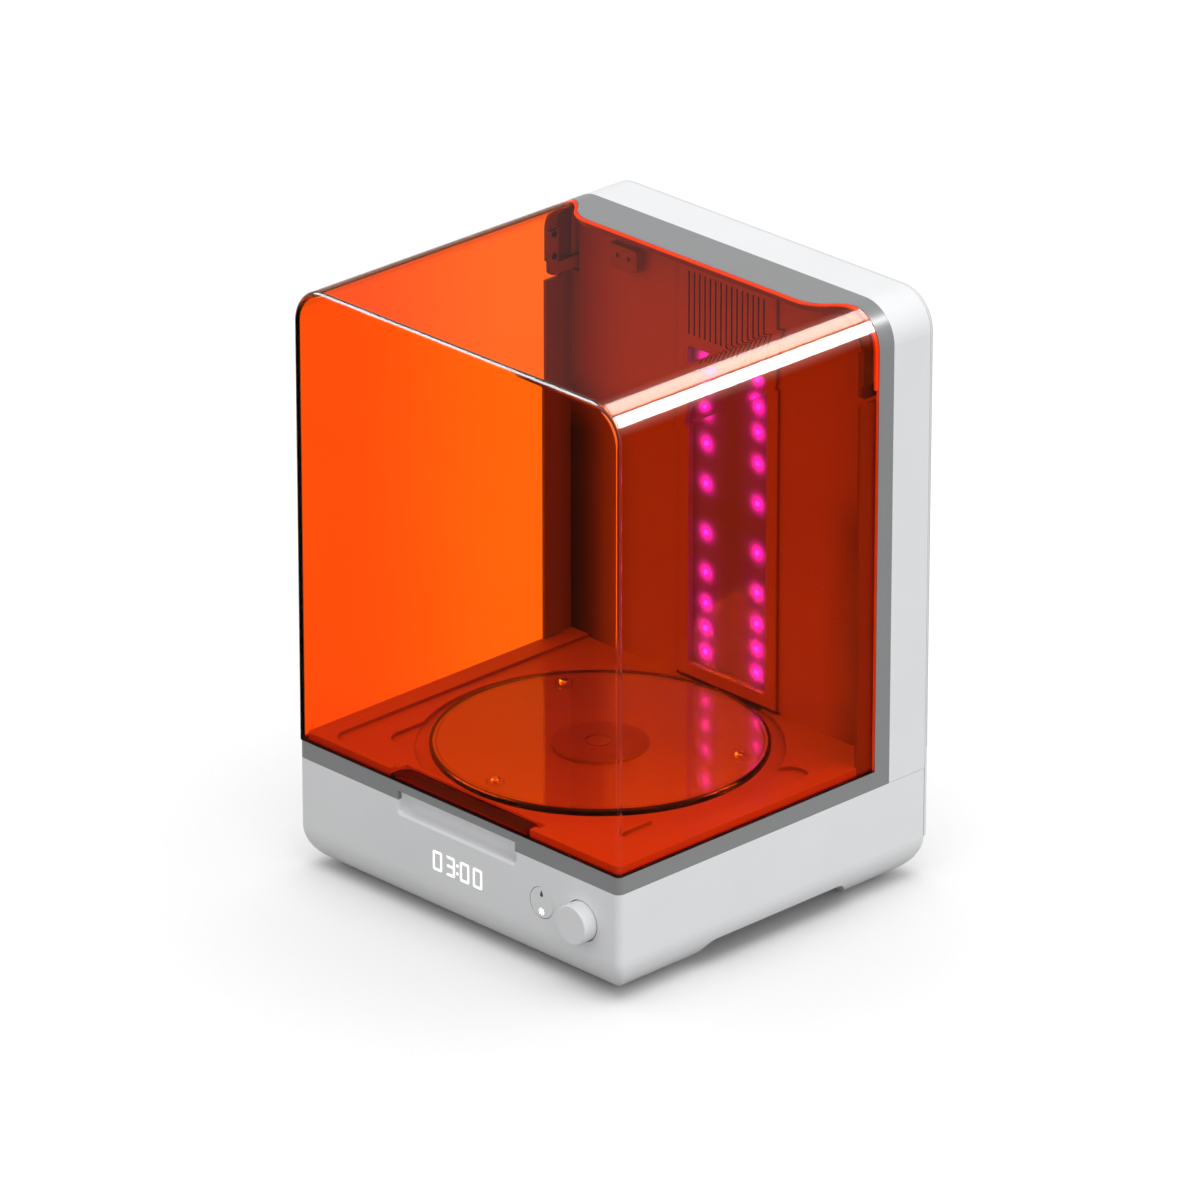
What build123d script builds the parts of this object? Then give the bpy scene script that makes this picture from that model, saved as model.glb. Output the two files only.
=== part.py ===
"""Desktop light curing unit for dental models: a base with controls, a rear column with the
light panel, a turntable and an amber hood that swings up and back on two hinge arms.

Millimetres. +Z is up, -Y is the front, X is symmetric. The origin lies on the surface that the
feet stand on, below the middle of the unit's overall box.
"""
import os
from math import atan2, cos, degrees, hypot, radians, sin, sqrt, tan

from build123d import *

# ---------------------------------------------------------------- overall sizes
width = 290.0
depth = 273.7                 # front face of the base to the back face of the rear cover
foot_proud = 1.2              # rubber feet below the base shell
base_height = 74.1            # base shell, below the grey trim band
band_height = 11.7            # grey trim band round the top of the base
hood_height = 311.6           # trim band to the top face

wall = 3.0                    # moulded shell wall
corner_radius = 5.0           # upright corners
rear_edge_radius = 2.0        # edges of the rear cover
top_radius = 25.5             # rounding between the sides and the top
base_radius = 27.0            # rounding under the base
seam = 0.3                    # visible gap between shells
trim_fit = 0.2                # gap round pieces that drop into a shell

# arch under the base, between the front and the rear foot
arch_front = 70.0
arch_back = 59.7              # arch's rear slope, in front of the back face
arch_slope = 14.0
arch_height = 15.0
arch_radius = 10.0
arch_skew = 0.43              # shifts the inner form's slopes to keep the wall even

# grey trim frame and the column behind it
column_depth = 35.4           # chamber's rear wall to the back face
frame_thick = 13.0            # upright part of the trim frame, front to back
tongue_reach = 19.8           # the tongue on the top face, in front of the upright part
tongue_flat = 52.0            # where its edge starts to curve back, from the side
tongue_inset = 13.0           # where it meets the upright part, from the side
tongue_drop = 8.0             # height of the tongue's front flange
tongue_flange = 2.5
band_ledge = 7.0              # width of the band, under the hood's edge
jamb_reach = 13.3             # light baffle inside the hood's sides, in front of the frame
jamb_gap = 1.0
jamb_thick = 2.4

# hood
hood_wall = 3.5
hood_gap_low = 0.4            # hood edge above the trim band
hood_gap_rear = 0.6           # hood edge in front of the trim frame
hood_edge_radius = 3.0
hood_land = 0.8               # thin outer lip of the hood's rear edge
hood_rebate = 2.4             # step behind that lip, so the edge clears the frame as it lifts
lip_half = 62.0               # lift lip behind the finger recess
lip_depth = 14.0
lip_thick = 2.6
lip_radius = 8.0
lip_gap = 0.5                 # the well's floor below the trim band's top

# finger recess in the base front
grip_half = 53.0
grip_below = 9.0              # lower edge, below the trim band's lower edge
grip_above = 6.2              # upper edge, above the trim band's lower edge
grip_depth = 16.0
grip_radius = 9.0
grip_lip_radius = 2.0
grip_corner = 2.5

# chamber tray and turntable
table_rearward = 6.35         # turntable's axle behind the middle of the chamber
table_thick = 4.5
tray_level = 15.5             # tray floor above the trim band's lower edge
tray_rim = 2.0                # raised rim above the tray floor
tray_rim_inset = 20.0
tray_rim_front = 10.0
tray_rim_radius = 12.0
tray_thick = 2.5
tray_gap = 1.2                # tray to hood
dish_margin = 2.65            # dish's edge, short of half the chamber's depth
dish_gap = 9.5                # round the turntable
dish_drop = 2.8
pocket_drop = 2.2
pocket_width = 24.0
stud_inset = 17.0
stud_radius = 3.2
stud_angles = (-90.0, 30.0, 150.0)

# turntable drive
hub_radius = 30.0
hub_neck = 10.0
hub_gap = 0.4
spigot_radius = 8.0
spigot_height = 2.0
fit = 0.05                    # running fit, radial
bearing_ring = 15.0
bearing_height = 7.0
shaft_radius = 3.0
motor_radius = 18.5
motor_height = 28.0
bracket_radius = 34.0
bracket_thick = 2.0

# light panel in the rear wall
wall_thick = 2.7
panel_half = 44.0
panel_proud = 2.2
panel_top_gap = 14.0
window_half = 35.0
window_low = 26.5
window_high = 244.0
window_radius = 3.5
window_thick = 1.5
window_inset = 0.6
led_column = 23.0
led_lift = 1.75               # LED rows' middle above the window's
led_shares = (0.1563, 0.4092, 0.6069, 0.7678, 0.9195)
led_size = 3.6
led_height = 1.4
board_thick = 1.6
slot_count = 15
slot_pitch = 4.75
slot_width = 1.4
slot_above = 8.0              # warm-air slots above the window
slot_length = 43.0

# cooling and warm-air parts in the column
sink_half = 32.0
sink_depth = 13.0
sink_base = 3.0
fin_pitch = 5.6
fin_thick = 1.4
fan_size = 60.0
fan_depth = 10.0
fan_corner = 4.0
fan_bore = 27.5
fan_hub = 12.0
fan_blades = 7
blade_gap = 0.9
heater_depth = 11.0
heater_half = 36.0
heater_half_height = 25.0

# hood hinge
pivot_behind = 21.7           # hinge axis behind the trim frame
pivot_drop = 21.0             # hinge axis below the top face
pin_radius = 2.2
hinge_hub = 5.0
arm_thick = 3.0
arm_inset = 5.5               # swinging arm's outer face, inside the column's side
arm_width = 8.0
arm_run_drop = 31.0           # forward run of the arm, below the axis
arm_leg = 12.0
strip_reach = 11.8            # hood's inner strip, in front of the trim frame
bond = 0.15
hoop_thick = 2.3
hoop_angle = 75.0
disc_thick = 1.8
bracket_plate = 3.0

# controls on the front
control_drop = 27.4           # button and knob centres below the trim band
button_left = 35.8            # button's centre to the knob's
button_radius = 10.3
button_gap = 0.4
button_flange = 1.4
button_travel = 0.8
knob_inset = 32.5             # knob's centre from the side
knob_radius = 13.1
knob_gap = 0.7
knob_proud = 10.0
knob_travel = 0.8
knob_edge = 1.0
knob_top = 4.0                # solid part of the knob in front of its shaft
encoder_shaft = 3.0
digit_drop = 30.6
digit_width = 8.4
digit_height = 13.6
digit_stroke = 1.8
digit_pitch = 11.7
digit_x = 0.85                # the colon's place across the front
digit_inner = 6.5             # colon to the middle of the nearest digit
digit_corner = 1.5
colon_dot = 1.9
colon_offset = 2.7
digit_depth = 0.8
digit_proud = 0.05
board_front = 13.5            # display board behind the front face

# underside, power and electronics
plate_half = 70.0
plate_front = 98.0
plate_back = 87.7             # plate's rear edge, in front of the back face
plate_lip = 4.0
foot_radius = 9.0
foot_height = 2.4
foot_inset = 45.0
foot_front = 44.0
foot_back = 39.7
inlet_inset = 53.0
inlet_z = 50.0
inlet_half = (13.8, 9.8)
switch_right = 44.0           # switch's centre to the inlet's
switch_half = (6.5, 9.6)

inlet_flange = 2.0
flange_lip = 2.5              # flanges of the inlet and switch beyond their openings
inlet_depth = 24.0
rocker_gap = 1.6
rocker_axle = 4.6             # rocker's axle behind the rear face
rocker_tilt = 8.0
cup_clear = 0.5               # left behind the pressed knob
cup_wall = 1.6
knob_inside = 5.6
icon_offset = 6.0
icon_depth = 0.5
switch_height = 4.4
boss_radius = 3.2
board_left = -36.0
board_inset = 12.0
board_down = 19.0
board_up = 14.0
screw_radius = 1.8
screw_head = 1.4
slot_half = 0.25              # half the width of a screw's slot
cover_screw_inset = 18.0
plate_vents = 9
plate_vent_pitch = 10.0
plate_vent_inset = 22.0
vent_width = 2.6
vent_count = 11
vent_pitch = 5.0
vent_reach = 28.0
pocket_inset = 42.0
pocket_front = 36.0
pocket_back = 47.3            # finger recesses' rear ends, in front of the rear wall
pocket_margin = 20.5
axle_radius = 1.5
strut_thick = 1.6
strut_width = 2.4
fan_hole = 1.7
blade_pitch = 38.0
duct_wall = 1.5
bar_height = 3.0
heater_fin = 1.2
bracket_rise = 8.0
strip_seat = 21.0
psu_inset = 17.0
psu_front = 78.0
psu_back = 73.7
psu_width = 88.0
psu_height = 32.0
psu_slots = 9
psu_slot_pitch = 11.0
psu_slot_width = 3.0
psu_slot_depth = 2.0
psu_margin = 18.0
pcb_inset = 15.0              # main board's right edge from the side
pcb_width = 92.0
pcb_front = 84.0
pcb_back = 79.7
pcb_rise = 6.0
standoff_radius = 3.0
standoff_inset = 6.0
sensor_left = 99.0
sensor_width = 24.0
sensor_height = 16.0
sensor_low = 281.0
sensor_depth = 8.0
sensor_hole = 1.6
sensor_pitch = 10.0
bracket_low = 34.0            # hinge bracket's foot below the axis
bracket_foot = 14.0
stud_height = 1.8

bumper_width = 1.8
bumper_length = 12.0
bumper_sink = 1.2

# ---------------------------------------------------------------- derived places
half = width / 2
window_reach = (window_high - window_low) / 2
led_centre = window_low + window_reach + led_lift
led_offsets = [share * window_reach for share in led_shares]
slot_low = window_high + slot_above
slot_high = slot_low + slot_length
frame_rear = depth - column_depth
frame_front = frame_rear - frame_thick
tongue_front = frame_front - tongue_reach
tongue_half = half - tongue_flat
tongue_end = half - tongue_inset
jamb_front = frame_front - jamb_reach
strip_front = frame_front - strip_reach
table_y = frame_rear / 2 + table_rearward
dish_radius = frame_rear / 2 - dish_margin
table_radius = dish_radius - dish_gap
stud_circle = table_radius - stud_inset
tray_rim_half = half - tray_rim_inset
pivot_y = frame_rear + pivot_behind
arm_outer = half - arm_inset
knob_x = half - knob_inset
button_x = knob_x - button_left
foot_x = half - foot_inset
foot_y = (foot_front, depth - foot_back)
inlet_x = inlet_inset - half
switch_x = inlet_x + switch_right
arch_rear = depth - arch_back
plate_rear = depth - plate_back
board_right = half - board_inset
pocket_left = pocket_inset - half
pocket_rear = frame_rear - pocket_back
pocket_sweep = dish_radius + pocket_margin
psu_left = psu_inset - half
psu_rear = depth - psu_back
pcb_right = half - pcb_inset
pcb_left = pcb_right - pcb_width
pcb_rear = depth - pcb_back
y_front = -(depth - knob_proud) / 2
z_shell = foot_proud
z_band = z_shell + base_height
z_ledge = z_band + band_height
z_top = z_ledge + hood_height
z_tray = z_band + tray_level
z_dish = z_tray - dish_drop
cover_bottom = z_shell + base_radius
cover_thick = wall


def back(distance):
    """Y of a point that lies this far behind the front face."""
    return y_front + distance


y_pivot = back(pivot_y)
z_pivot = z_top - pivot_drop
y_table = back(table_y)
y_wall = back(frame_rear)
y_cover = back(depth - cover_thick)
z_control = z_band - control_drop
cup_floor = knob_inside + knob_travel + cup_clear
z_jamb = z_pivot - arm_run_drop - arm_width / 2 - 3.0
z_seat = z_dish - 0.5 - bearing_height - 1.5
z_motor = z_dish - tray_thick - 16.0
z_floor = z_shell + arch_height + wall
z_cooling = z_band + led_centre - 2.0
z_warm = z_band + (slot_low + slot_high) / 2
y_cooling = y_wall + wall_thick + board_thick + sink_depth + 0.5
y_warm = y_wall + wall_thick + heater_depth + 0.3


# ---------------------------------------------------------------- solid helpers
def block(x0, x1, y0, y1, z0, z1):
    return Pos((x0 + x1) / 2, (y0 + y1) / 2, (z0 + z1) / 2) * Box(x1 - x0, y1 - y0, z1 - z0)


def rod_x(y, z, x0, x1, radius):
    return Pos((x0 + x1) / 2, y, z) * Rot(0, 90, 0) * Cylinder(radius, abs(x1 - x0))


def rod_y(x, z, y0, y1, radius):
    return Pos(x, (y0 + y1) / 2, z) * Rot(90, 0, 0) * Cylinder(radius, abs(y1 - y0))


def rod_z(x, y, z0, z1, radius):
    return Pos(x, y, (z0 + z1) / 2) * Cylinder(radius, abs(z1 - z0))


def mirrored(solid):
    """The solid and its mirror image across the middle plane."""
    return [solid, mirror(solid, about=Plane.YZ)]


def spread(count, pitch):
    """Evenly spaced places about zero."""
    return [(i - (count - 1) / 2) * pitch for i in range(count)]


def group(solids):
    return Compound(children=list(solids))


def save(name, shape):
    export_step(shape, f"parts/{name}.step")


def arch_prism(inset, y0, y1, z0):
    """Solid with the unit's upright outline: flat sides and rounded top corners."""
    body = block(-half + inset, half - inset, y0, y1, z0, z_top - inset)
    edges = body.edges().filter_by(Axis.Y).group_by(Axis.Z)[-1]
    return fillet(edges, top_radius - inset)


def bar_face(p, q, breadth):
    """Flat bar with round ends between two points, in the YZ plane."""
    length = hypot(q[0] - p[0], q[1] - p[1])
    angle = degrees(atan2(q[1] - p[1], q[0] - p[0]))
    slot = SlotCenterToCenter(length, breadth)
    middle = Pos((p[0] + q[0]) / 2, (p[1] + q[1]) / 2)
    return Plane.YZ * middle * Rot(0, 0, angle) * slot


def tongue_curve(shift):
    """Plan outline of the trim tongue's front edge, moved forward by shift."""
    run = (tongue_end - tongue_half) / 2
    rise = (frame_front - tongue_front) / 2
    slope = degrees(2 * atan2(rise, run))
    near = back(tongue_front) - shift
    far = back(frame_front) - shift
    mid_x = tongue_half + run
    mid_y = (near + far) / 2
    tangent = (cos(radians(slope)), sin(radians(slope)))
    right_in = TangentArc((tongue_half, near), (mid_x, mid_y), tangent=(1, 0))
    right_out = TangentArc((mid_x, mid_y), (tongue_end, far), tangent=tangent)
    return near, far, [right_in, right_out]


def behind_curve(shift, y_end, reach):
    """Plan face of everything behind the tongue's front edge, out to +-reach."""
    near, far, arcs = tongue_curve(shift)
    right = [
        Line((0, near), (tongue_half, near)),
        *arcs,
        Line((tongue_end, far), (reach, far)),
        Line((reach, far), (reach, y_end)),
        Line((reach, y_end), (0, y_end)),
        Line((0, y_end), (0, near)),
    ]
    face = make_face(right)
    return face + mirror(face, about=Plane.YZ)


# ---------------------------------------------------------------- base
def tub(inset):
    """The base's outer form, or its inner form when inset by the wall."""
    x = half - inset
    y0 = back(inset)
    y1 = back(depth - inset)
    z0 = z_shell + inset
    radius = base_radius - inset
    body = block(-x, x, y0, y1, z0, z_band)
    across = fillet(body.edges().filter_by(Axis.Y).group_by(Axis.Z)[0], radius)
    along = fillet(body.edges().filter_by(Axis.X).group_by(Axis.Z)[0], radius)
    form = across & along
    upright = form.edges().filter_by(Axis.Z)
    mitred = form.edges().filter_by(GeomType.ELLIPSE)
    return fillet(upright + mitred, corner_radius - inset) - arch_cut(inset)


def arch_cut(inset):
    """Prism that opens the underside between the feet."""
    z0 = z_shell + inset
    z1 = z0 + arch_height
    y0 = back(arch_front) - inset * arch_skew
    y1 = back(arch_rear) + inset * arch_skew
    points = [
        (y0 - arch_slope, z0 - arch_height),
        (y0 - arch_slope, z0),
        (y0, z0),
        (y0 + arch_slope, z1),
        (y1 - arch_slope, z1),
        (y1, z0),
        (y1 + arch_slope, z0),
        (y1 + arch_slope, z0 - arch_height),
    ]
    face = make_face(Polyline(*points, close=True))
    corners = [v for v in face.vertices() if y0 - 1 < v.X < y1 + 1]
    face = fillet(corners, arch_radius)
    return extrude(Plane.YZ * face, amount=width, both=True)


def grip_pocket(inset):
    """The finger recess; a negative inset gives the pocket's outer form."""
    x = grip_half - inset
    body = block(-x, x, back(-wall), back(grip_depth - inset), z_band - grip_below + inset, z_ledge + 5)
    rear = body.edges().group_by(Axis.Y)[-1]
    low = rear.filter_by(Axis.X).sort_by(Axis.Z)[0]
    sides = rear.filter_by(Axis.Z)
    body = fillet([low, *sides], grip_radius - inset)
    if inset < 0:
        return body
    return fillet(body.edges().filter_by(Axis.Y).group_by(Axis.Z)[0], grip_corner)


def base_shell():
    shell = tub(0) - tub(wall)
    x = grip_half + wall
    riser = block(-x, x, back(wall + trim_fit), back(grip_depth + wall), z_band - 1, z_ledge - wall)
    shell = shell + (grip_pocket(-wall) & (tub(0) + riser)) - grip_pocket(0)
    lip = [e for e in shell.edges().filter_by(Axis.X) if abs(e.center().Z - z_band + grip_below) < 0.1]
    shell = fillet([e for e in lip if abs(e.center().Y - back(0)) < 0.1], grip_lip_radius)
    for x, z in board_corners():
        shell = shell + rod_y(x, z, back(wall - 0.5), back(board_front), boss_radius)
    cup_radius = knob_radius + knob_gap
    y_cup = back(cup_floor + cup_wall)
    shell = shell + rod_y(knob_x, z_control, back(wall - 0.5), y_cup, cup_radius + cup_wall)
    shell = shell - rod_y(knob_x, z_control, back(-1), back(cup_floor), cup_radius)
    shell = shell - rod_y(knob_x, z_control, back(0), back(board_front), encoder_shaft + 0.4)
    shell = shell - rod_y(button_x, z_control, back(-1), back(wall + 1), button_radius + button_gap)
    shell = shell - digit_solids(back(-1), back(digit_depth))
    # open at the rear, where the rear cover closes it
    x = half + 1
    shell = shell - block(-x, x, y_cover - seam, back(depth) + 1, cover_bottom - seam, z_band + 1)
    # service opening in the arch's roof
    shell = shell - plate_form(trim_fit)
    for x, y in feet_places():
        shell = shell - rod_z(x, y, z_shell - 1, z_shell + foot_height - foot_proud, foot_radius + trim_fit)
    return shell


def feet_places():
    return [(x, back(y)) for x in (-foot_x, foot_x) for y in foot_y]


def rubber_feet():
    feet = []
    for x, y in feet_places():
        foot = rod_z(x, y, 0, foot_height, foot_radius)
        feet.append(chamfer(foot.edges().group_by(Axis.Z)[0], foot_proud * 0.4))
    return group(feet)


def plate_form(gap):
    """Service plate with a stepped edge, in the roof of the arch."""
    z0 = z_shell + arch_height
    step = wall / 2
    y0 = back(plate_front)
    y1 = back(plate_rear)
    low = block(-plate_half - gap, plate_half + gap, y0 - gap, y1 + gap, z0 - (gap > 0), z0 + step)
    x = plate_half - plate_lip + gap
    inner = plate_lip - gap
    return low + block(-x, x, y0 + inner, y1 - inner, z0, z0 + wall + (gap > 0))


def plate_screw_places():
    inset = plate_lip / 2
    ys = (back(plate_front) + inset, back(plate_rear) - inset)
    return [(x, y) for x in (-plate_half + inset, plate_half - inset) for y in ys]


def base_plate():
    plate = plate_form(0)
    z0 = z_shell + arch_height
    w = vent_width / 2
    y0 = back(plate_front + plate_vent_inset)
    y1 = back(plate_rear - plate_vent_inset)
    for x in spread(plate_vents, plate_vent_pitch):
        plate = plate - block(x - w, x + w, y0, y1, z0 - 1, z0 + wall + 1)
    for x, y in plate_screw_places():
        plate = plate - rod_z(x, y, z0 - 1, z0 + screw_head, screw_radius + 0.1)
    return plate


def base_plate_screws():
    z0 = z_shell + arch_height
    return group(screw(x, y, z0) for x, y in plate_screw_places())


def screw(x, y, z0):
    """Countersunk-level screw, head down, in a socket that is screw_head deep."""
    head = rod_z(x, y, z0 + 0.05, z0 + screw_head, screw_radius)
    w = screw_radius * 0.7
    slot = block(x - w, x + w, y - slot_half, y + slot_half, z0, z0 + 0.5)
    return head - slot


# ---------------------------------------------------------------- trim frame and column
def trim_frame():
    y1 = back(frame_rear)
    band = block(-half, half, back(0), y1, z_band, z_ledge)
    band = fillet(band.edges().filter_by(Axis.Z).group_by(Axis.Y)[0], corner_radius)
    x = half - band_ledge
    band = band - block(-x, x, back(band_ledge), y1 + 1, z_band - 1, z_ledge + 1)
    x = half - wall
    band = band - block(-x, x, back(wall), y1 + 1, z_band - 1, z_ledge - wall)
    band = band - block(-grip_half, grip_half, back(-1), back(wall), z_band - 1, z_band + grip_above)
    band = band - block(-grip_half, grip_half, back(wall), back(grip_depth), z_band - 1, z_ledge + 1)
    arch = arch_prism(0, back(frame_front), y1, z_band) - arch_prism(wall, back(0), y1 + 1, z_band - 1)
    top = extrude(Pos(0, 0, z_top - tongue_drop) * behind_curve(0, y1, half), amount=tongue_drop)
    top = top & arch_prism(0, back(0), y1, z_band)
    hollow_face = behind_curve(-tongue_flange, y1 + 1, half)
    hollow = extrude(Pos(0, 0, z_top - tongue_drop - 1) * hollow_face, amount=tongue_drop)
    top = top - (hollow & arch_prism(wall, back(0), y1 + 1, z_band))
    frame = band + arch + top
    for jamb in mirrored(jamb_form(0)):
        frame = frame + jamb
    for x0, x1, py0, py1 in bumper_places():
        frame = frame - block(x0, x1, py0, py1, z_ledge - bumper_sink, z_ledge + 1)
    return frame


def jamb_form(gap):
    """Light baffle that stands inside the hood's side wall, below the swinging arm."""
    x1 = half - hood_wall - jamb_gap + gap
    x0 = x1 - jamb_thick - 2 * gap
    z0 = z_ledge - wall / 2
    y0 = back(frame_front)
    baffle = block(x0, x1, back(jamb_front) - gap, y0 + wall, z0, z_jamb)
    return baffle + block(x0, half - wall / 2, y0, y0 + wall + gap, z0, z_jamb)


def column_shell():
    y1 = y_cover - seam
    return arch_prism(0, y_wall, y1, z_band + seam) - arch_prism(wall, y_wall - 1, y1 + 1, z_band - 1)


def back_cover():
    y1 = back(depth)
    cover = arch_prism(0, y_cover, y1, cover_bottom)
    cover = fillet(cover.faces().sort_by(Axis.Y)[-1].edges(), rear_edge_radius)
    w = vent_width / 2
    for x in spread(vent_count, vent_pitch):
        reach = sqrt(max(vent_reach**2 - x**2, vent_width**2))
        for z in (z_cooling, z_warm):
            cover = cover - block(x - w, x + w, y_cover - 1, y1 + 1, z - reach, z + reach)
    for x, (w, h) in ((inlet_x, inlet_half), (switch_x, switch_half)):
        cover = cover - block(x - w, x + w, y_cover - 1, y1 + 1, inlet_z - h, inlet_z + h)
        w = w + flange_lip + trim_fit
        h = h + flange_lip + trim_fit
        cover = cover - block(x - w, x + w, y1 - inlet_flange, y1 + 1, inlet_z - h, inlet_z + h)
    for x, z in cover_screw_places():
        cover = cover - rod_y(x, z, y1 - screw_head, y1 + 1, screw_radius + 0.1)
    return cover


def cover_screw_places():
    x = half - cover_screw_inset
    levels = (cover_bottom + 14, z_ledge + 90, z_top - 40)
    return [(side * x, z) for side in (-1, 1) for z in levels]


def back_cover_screws():
    y1 = back(depth)
    w = screw_radius * 0.7
    screws = []
    for x, z in cover_screw_places():
        head = rod_y(x, z, y1 - screw_head, y1 - 0.05, screw_radius)
        screws.append(head - block(x - w, x + w, y1 - 0.6, y1, z - slot_half, z + slot_half))
    return group(screws)


# ---------------------------------------------------------------- chamber
def rounded_block(x0, x1, y0, y1, z0, z1, radius):
    body = block(x0, x1, y0, y1, z0, z1)
    return fillet(body.edges().filter_by(Axis.Z), radius)


def chamber_tray():
    x = half - hood_wall - tray_gap
    y0 = back(hood_wall + tray_gap)
    y1 = y_wall - trim_fit
    z0 = z_tray - tray_thick
    outline = block(-x, x, y0, y1, z0 - 20, z_tray + tray_rim)
    outline = fillet(outline.edges().filter_by(Axis.Z).group_by(Axis.Y)[0], corner_radius - 2)
    slab = outline & block(-x, x, y0, y1, z0, z_tray + tray_rim)
    t = tray_thick
    skirt = block(-x, x, y0, y1, z_ledge, z0) - block(-x + t, x - t, y0 + t, y1 - t, z_ledge, z0)
    tray = slab + (outline & skirt)
    under = rod_z(0, y_table, z_dish - tray_thick, z0, dish_radius + tray_thick)
    under = under & block(-x, x, y0, y1, z0 - 20, z0)
    tray = tray + under + rod_z(0, y_table, z_seat, z_dish, bearing_ring + 3.5)
    floor_y1 = y1 + tray_rim_radius + 1
    floor = rounded_block(
        -tray_rim_half, tray_rim_half, back(tray_rim_front), floor_y1, z_tray, z_tray + 9, tray_rim_radius
    )
    tray = tray - floor
    tray = tray - rod_z(0, y_table, z_dish, z_tray + 9, dish_radius)
    left, right = finger_pockets(0)
    left_under, right_under = finger_pockets(-tray_thick)
    outside = block(-x, x, y0, y1, z0 - 20, z_tray)
    tray = tray + ((left_under + right_under) & outside) - left - right
    tray = tray - rod_z(0, y_table, z_dish, z_tray + 9, dish_radius)
    tray = tray - rod_z(0, y_table, z_seat + 1.5, z_dish + 1, bearing_ring)
    tray = tray - rod_z(0, y_table, z_seat - 1, z_dish + 1, bearing_ring - 2.5)
    tray = tray + well_form(tray_thick, z_ledge - wall) - well_form(0, z_ledge - lip_gap)
    tray = tray - block(-grip_half, grip_half, back(0), back(grip_depth), z_ledge - wall - 1, z_tray)
    for jamb in mirrored(jamb_form(trim_fit)):
        tray = tray - jamb
    return tray


def well_form(spread, z0):
    """Well at the tray's front edge that the hood's lift lip drops into."""
    x = lip_half + tray_gap + spread
    y1 = back(hood_wall + lip_depth + tray_gap + spread)
    z1 = z_tray if spread else z_tray + 9
    y0 = back(band_ledge + trim_fit) if spread else back(hood_wall)
    return block(-x, x, y0, y1, z0, z1)


def finger_pockets(inset):
    """Shallow finger recesses beside the turntable; a negative inset gives their undersides."""
    z0 = z_tray - pocket_drop + inset
    y0 = back(pocket_front) + inset
    y1 = back(pocket_rear) - inset
    radius = pocket_width / 2 - 0.5
    z1 = z_tray + 9
    x0 = pocket_left + inset
    left = rounded_block(x0, x0 + pocket_width - 2 * inset, y0, y1, z0, z1, radius)
    x1 = tray_rim_half + 1 - inset
    right = rounded_block(x1 - pocket_width + 2 * inset, x1, y0, y1, z0, z1, radius)
    sweep = rod_z(0, y_table, z0, z1, pocket_sweep - inset)
    return left & sweep, right & sweep


def chamber_back_wall():
    y0 = y_wall
    y1 = y_wall + wall_thick
    z0 = z_tray - tray_thick
    plate = arch_prism(wall + trim_fit, y0, y1, z0)
    x = panel_half
    panel = block(-x, x, y0 - panel_proud, y0 + 1, z_tray + tray_rim, z_top - panel_top_gap)
    panel = fillet(panel.edges().group_by(Axis.Y)[0], panel_proud * 0.6)
    plate = plate + panel
    x = window_half
    window = block(-x, x, y0 - 9, y1 + 1, z_band + window_low, z_band + window_high)
    plate = plate - fillet(window.edges().filter_by(Axis.Y), window_radius)
    w = slot_width / 2
    for x in spread(slot_count, slot_pitch):
        plate = plate - block(x - w, x + w, y0 - 9, y1 + 1, z_band + slot_low, z_band + slot_high)
    passage = block(arm_outer - arm_thick - 1.5, half, y0 - 1, y1 + 1, z_jamb, z_top)
    for cut in mirrored(passage):
        plate = plate - cut
    x = panel_half + 3
    return plate - block(-x, x, y0 - 9, y1 + 1, z0 - 1, z_tray + tray_rim)


def lid_sensor():
    x = sensor_width / 2 - sensor_left
    z = z_band + sensor_low
    y0 = y_wall - sensor_depth
    body = block(x - sensor_width / 2, x + sensor_width / 2, y0, y_wall, z, z + sensor_height)
    body = fillet(body.edges().filter_by(Axis.Y).group_by(Axis.Z)[0], sensor_height * 0.28)
    for hole_x in spread(2, sensor_pitch):
        hole = rod_y(x + hole_x, z + sensor_height * 0.56, y0 - 1, y_wall - sensor_depth / 2, sensor_hole)
        body = body - hole
    return body


def led_window():
    y0 = y_wall - panel_proud + window_inset
    gap = trim_fit
    body = block(
        -window_half + gap, window_half - gap, y0, y0 + window_thick,
        z_band + window_low + gap, z_band + window_high - gap,
    )
    return fillet(body.edges().filter_by(Axis.Y), window_radius - gap)


def led_board():
    y0 = y_wall + wall_thick
    return block(
        -window_half - 1, window_half + 1, y0, y0 + board_thick,
        z_band + window_low - 1.5, z_band + window_high + 1.5,
    )


def led_emitters():
    y1 = y_wall + wall_thick
    s = led_size / 2
    chips = []
    for x in (-led_column, led_column):
        for offset in [-o for o in reversed(led_offsets)] + led_offsets:
            z = z_band + led_centre + offset
            base = block(x - s, x + s, y1 - led_height / 2, y1, z - s, z + s)
            lens = rod_y(x, z, y1 - led_height, y1 - led_height / 2, s * 0.85)
            chips.append(base + fillet(lens.edges().group_by(Axis.Y)[0], led_height * 0.35))
    return group(chips)


def led_heatsink():
    y0 = y_wall + wall_thick + board_thick
    z0 = z_band + window_low
    z1 = z_band + window_high - 6
    sink = block(-sink_half, sink_half, y0, y0 + sink_base, z0, z1)
    w = fin_thick / 2
    for x in spread(int((2 * sink_half - fin_thick) / fin_pitch) + 1, fin_pitch):
        sink = sink + block(x - w, x + w, y0 + sink_base - 0.1, y0 + sink_depth, z0, z1)
    return sink


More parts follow.
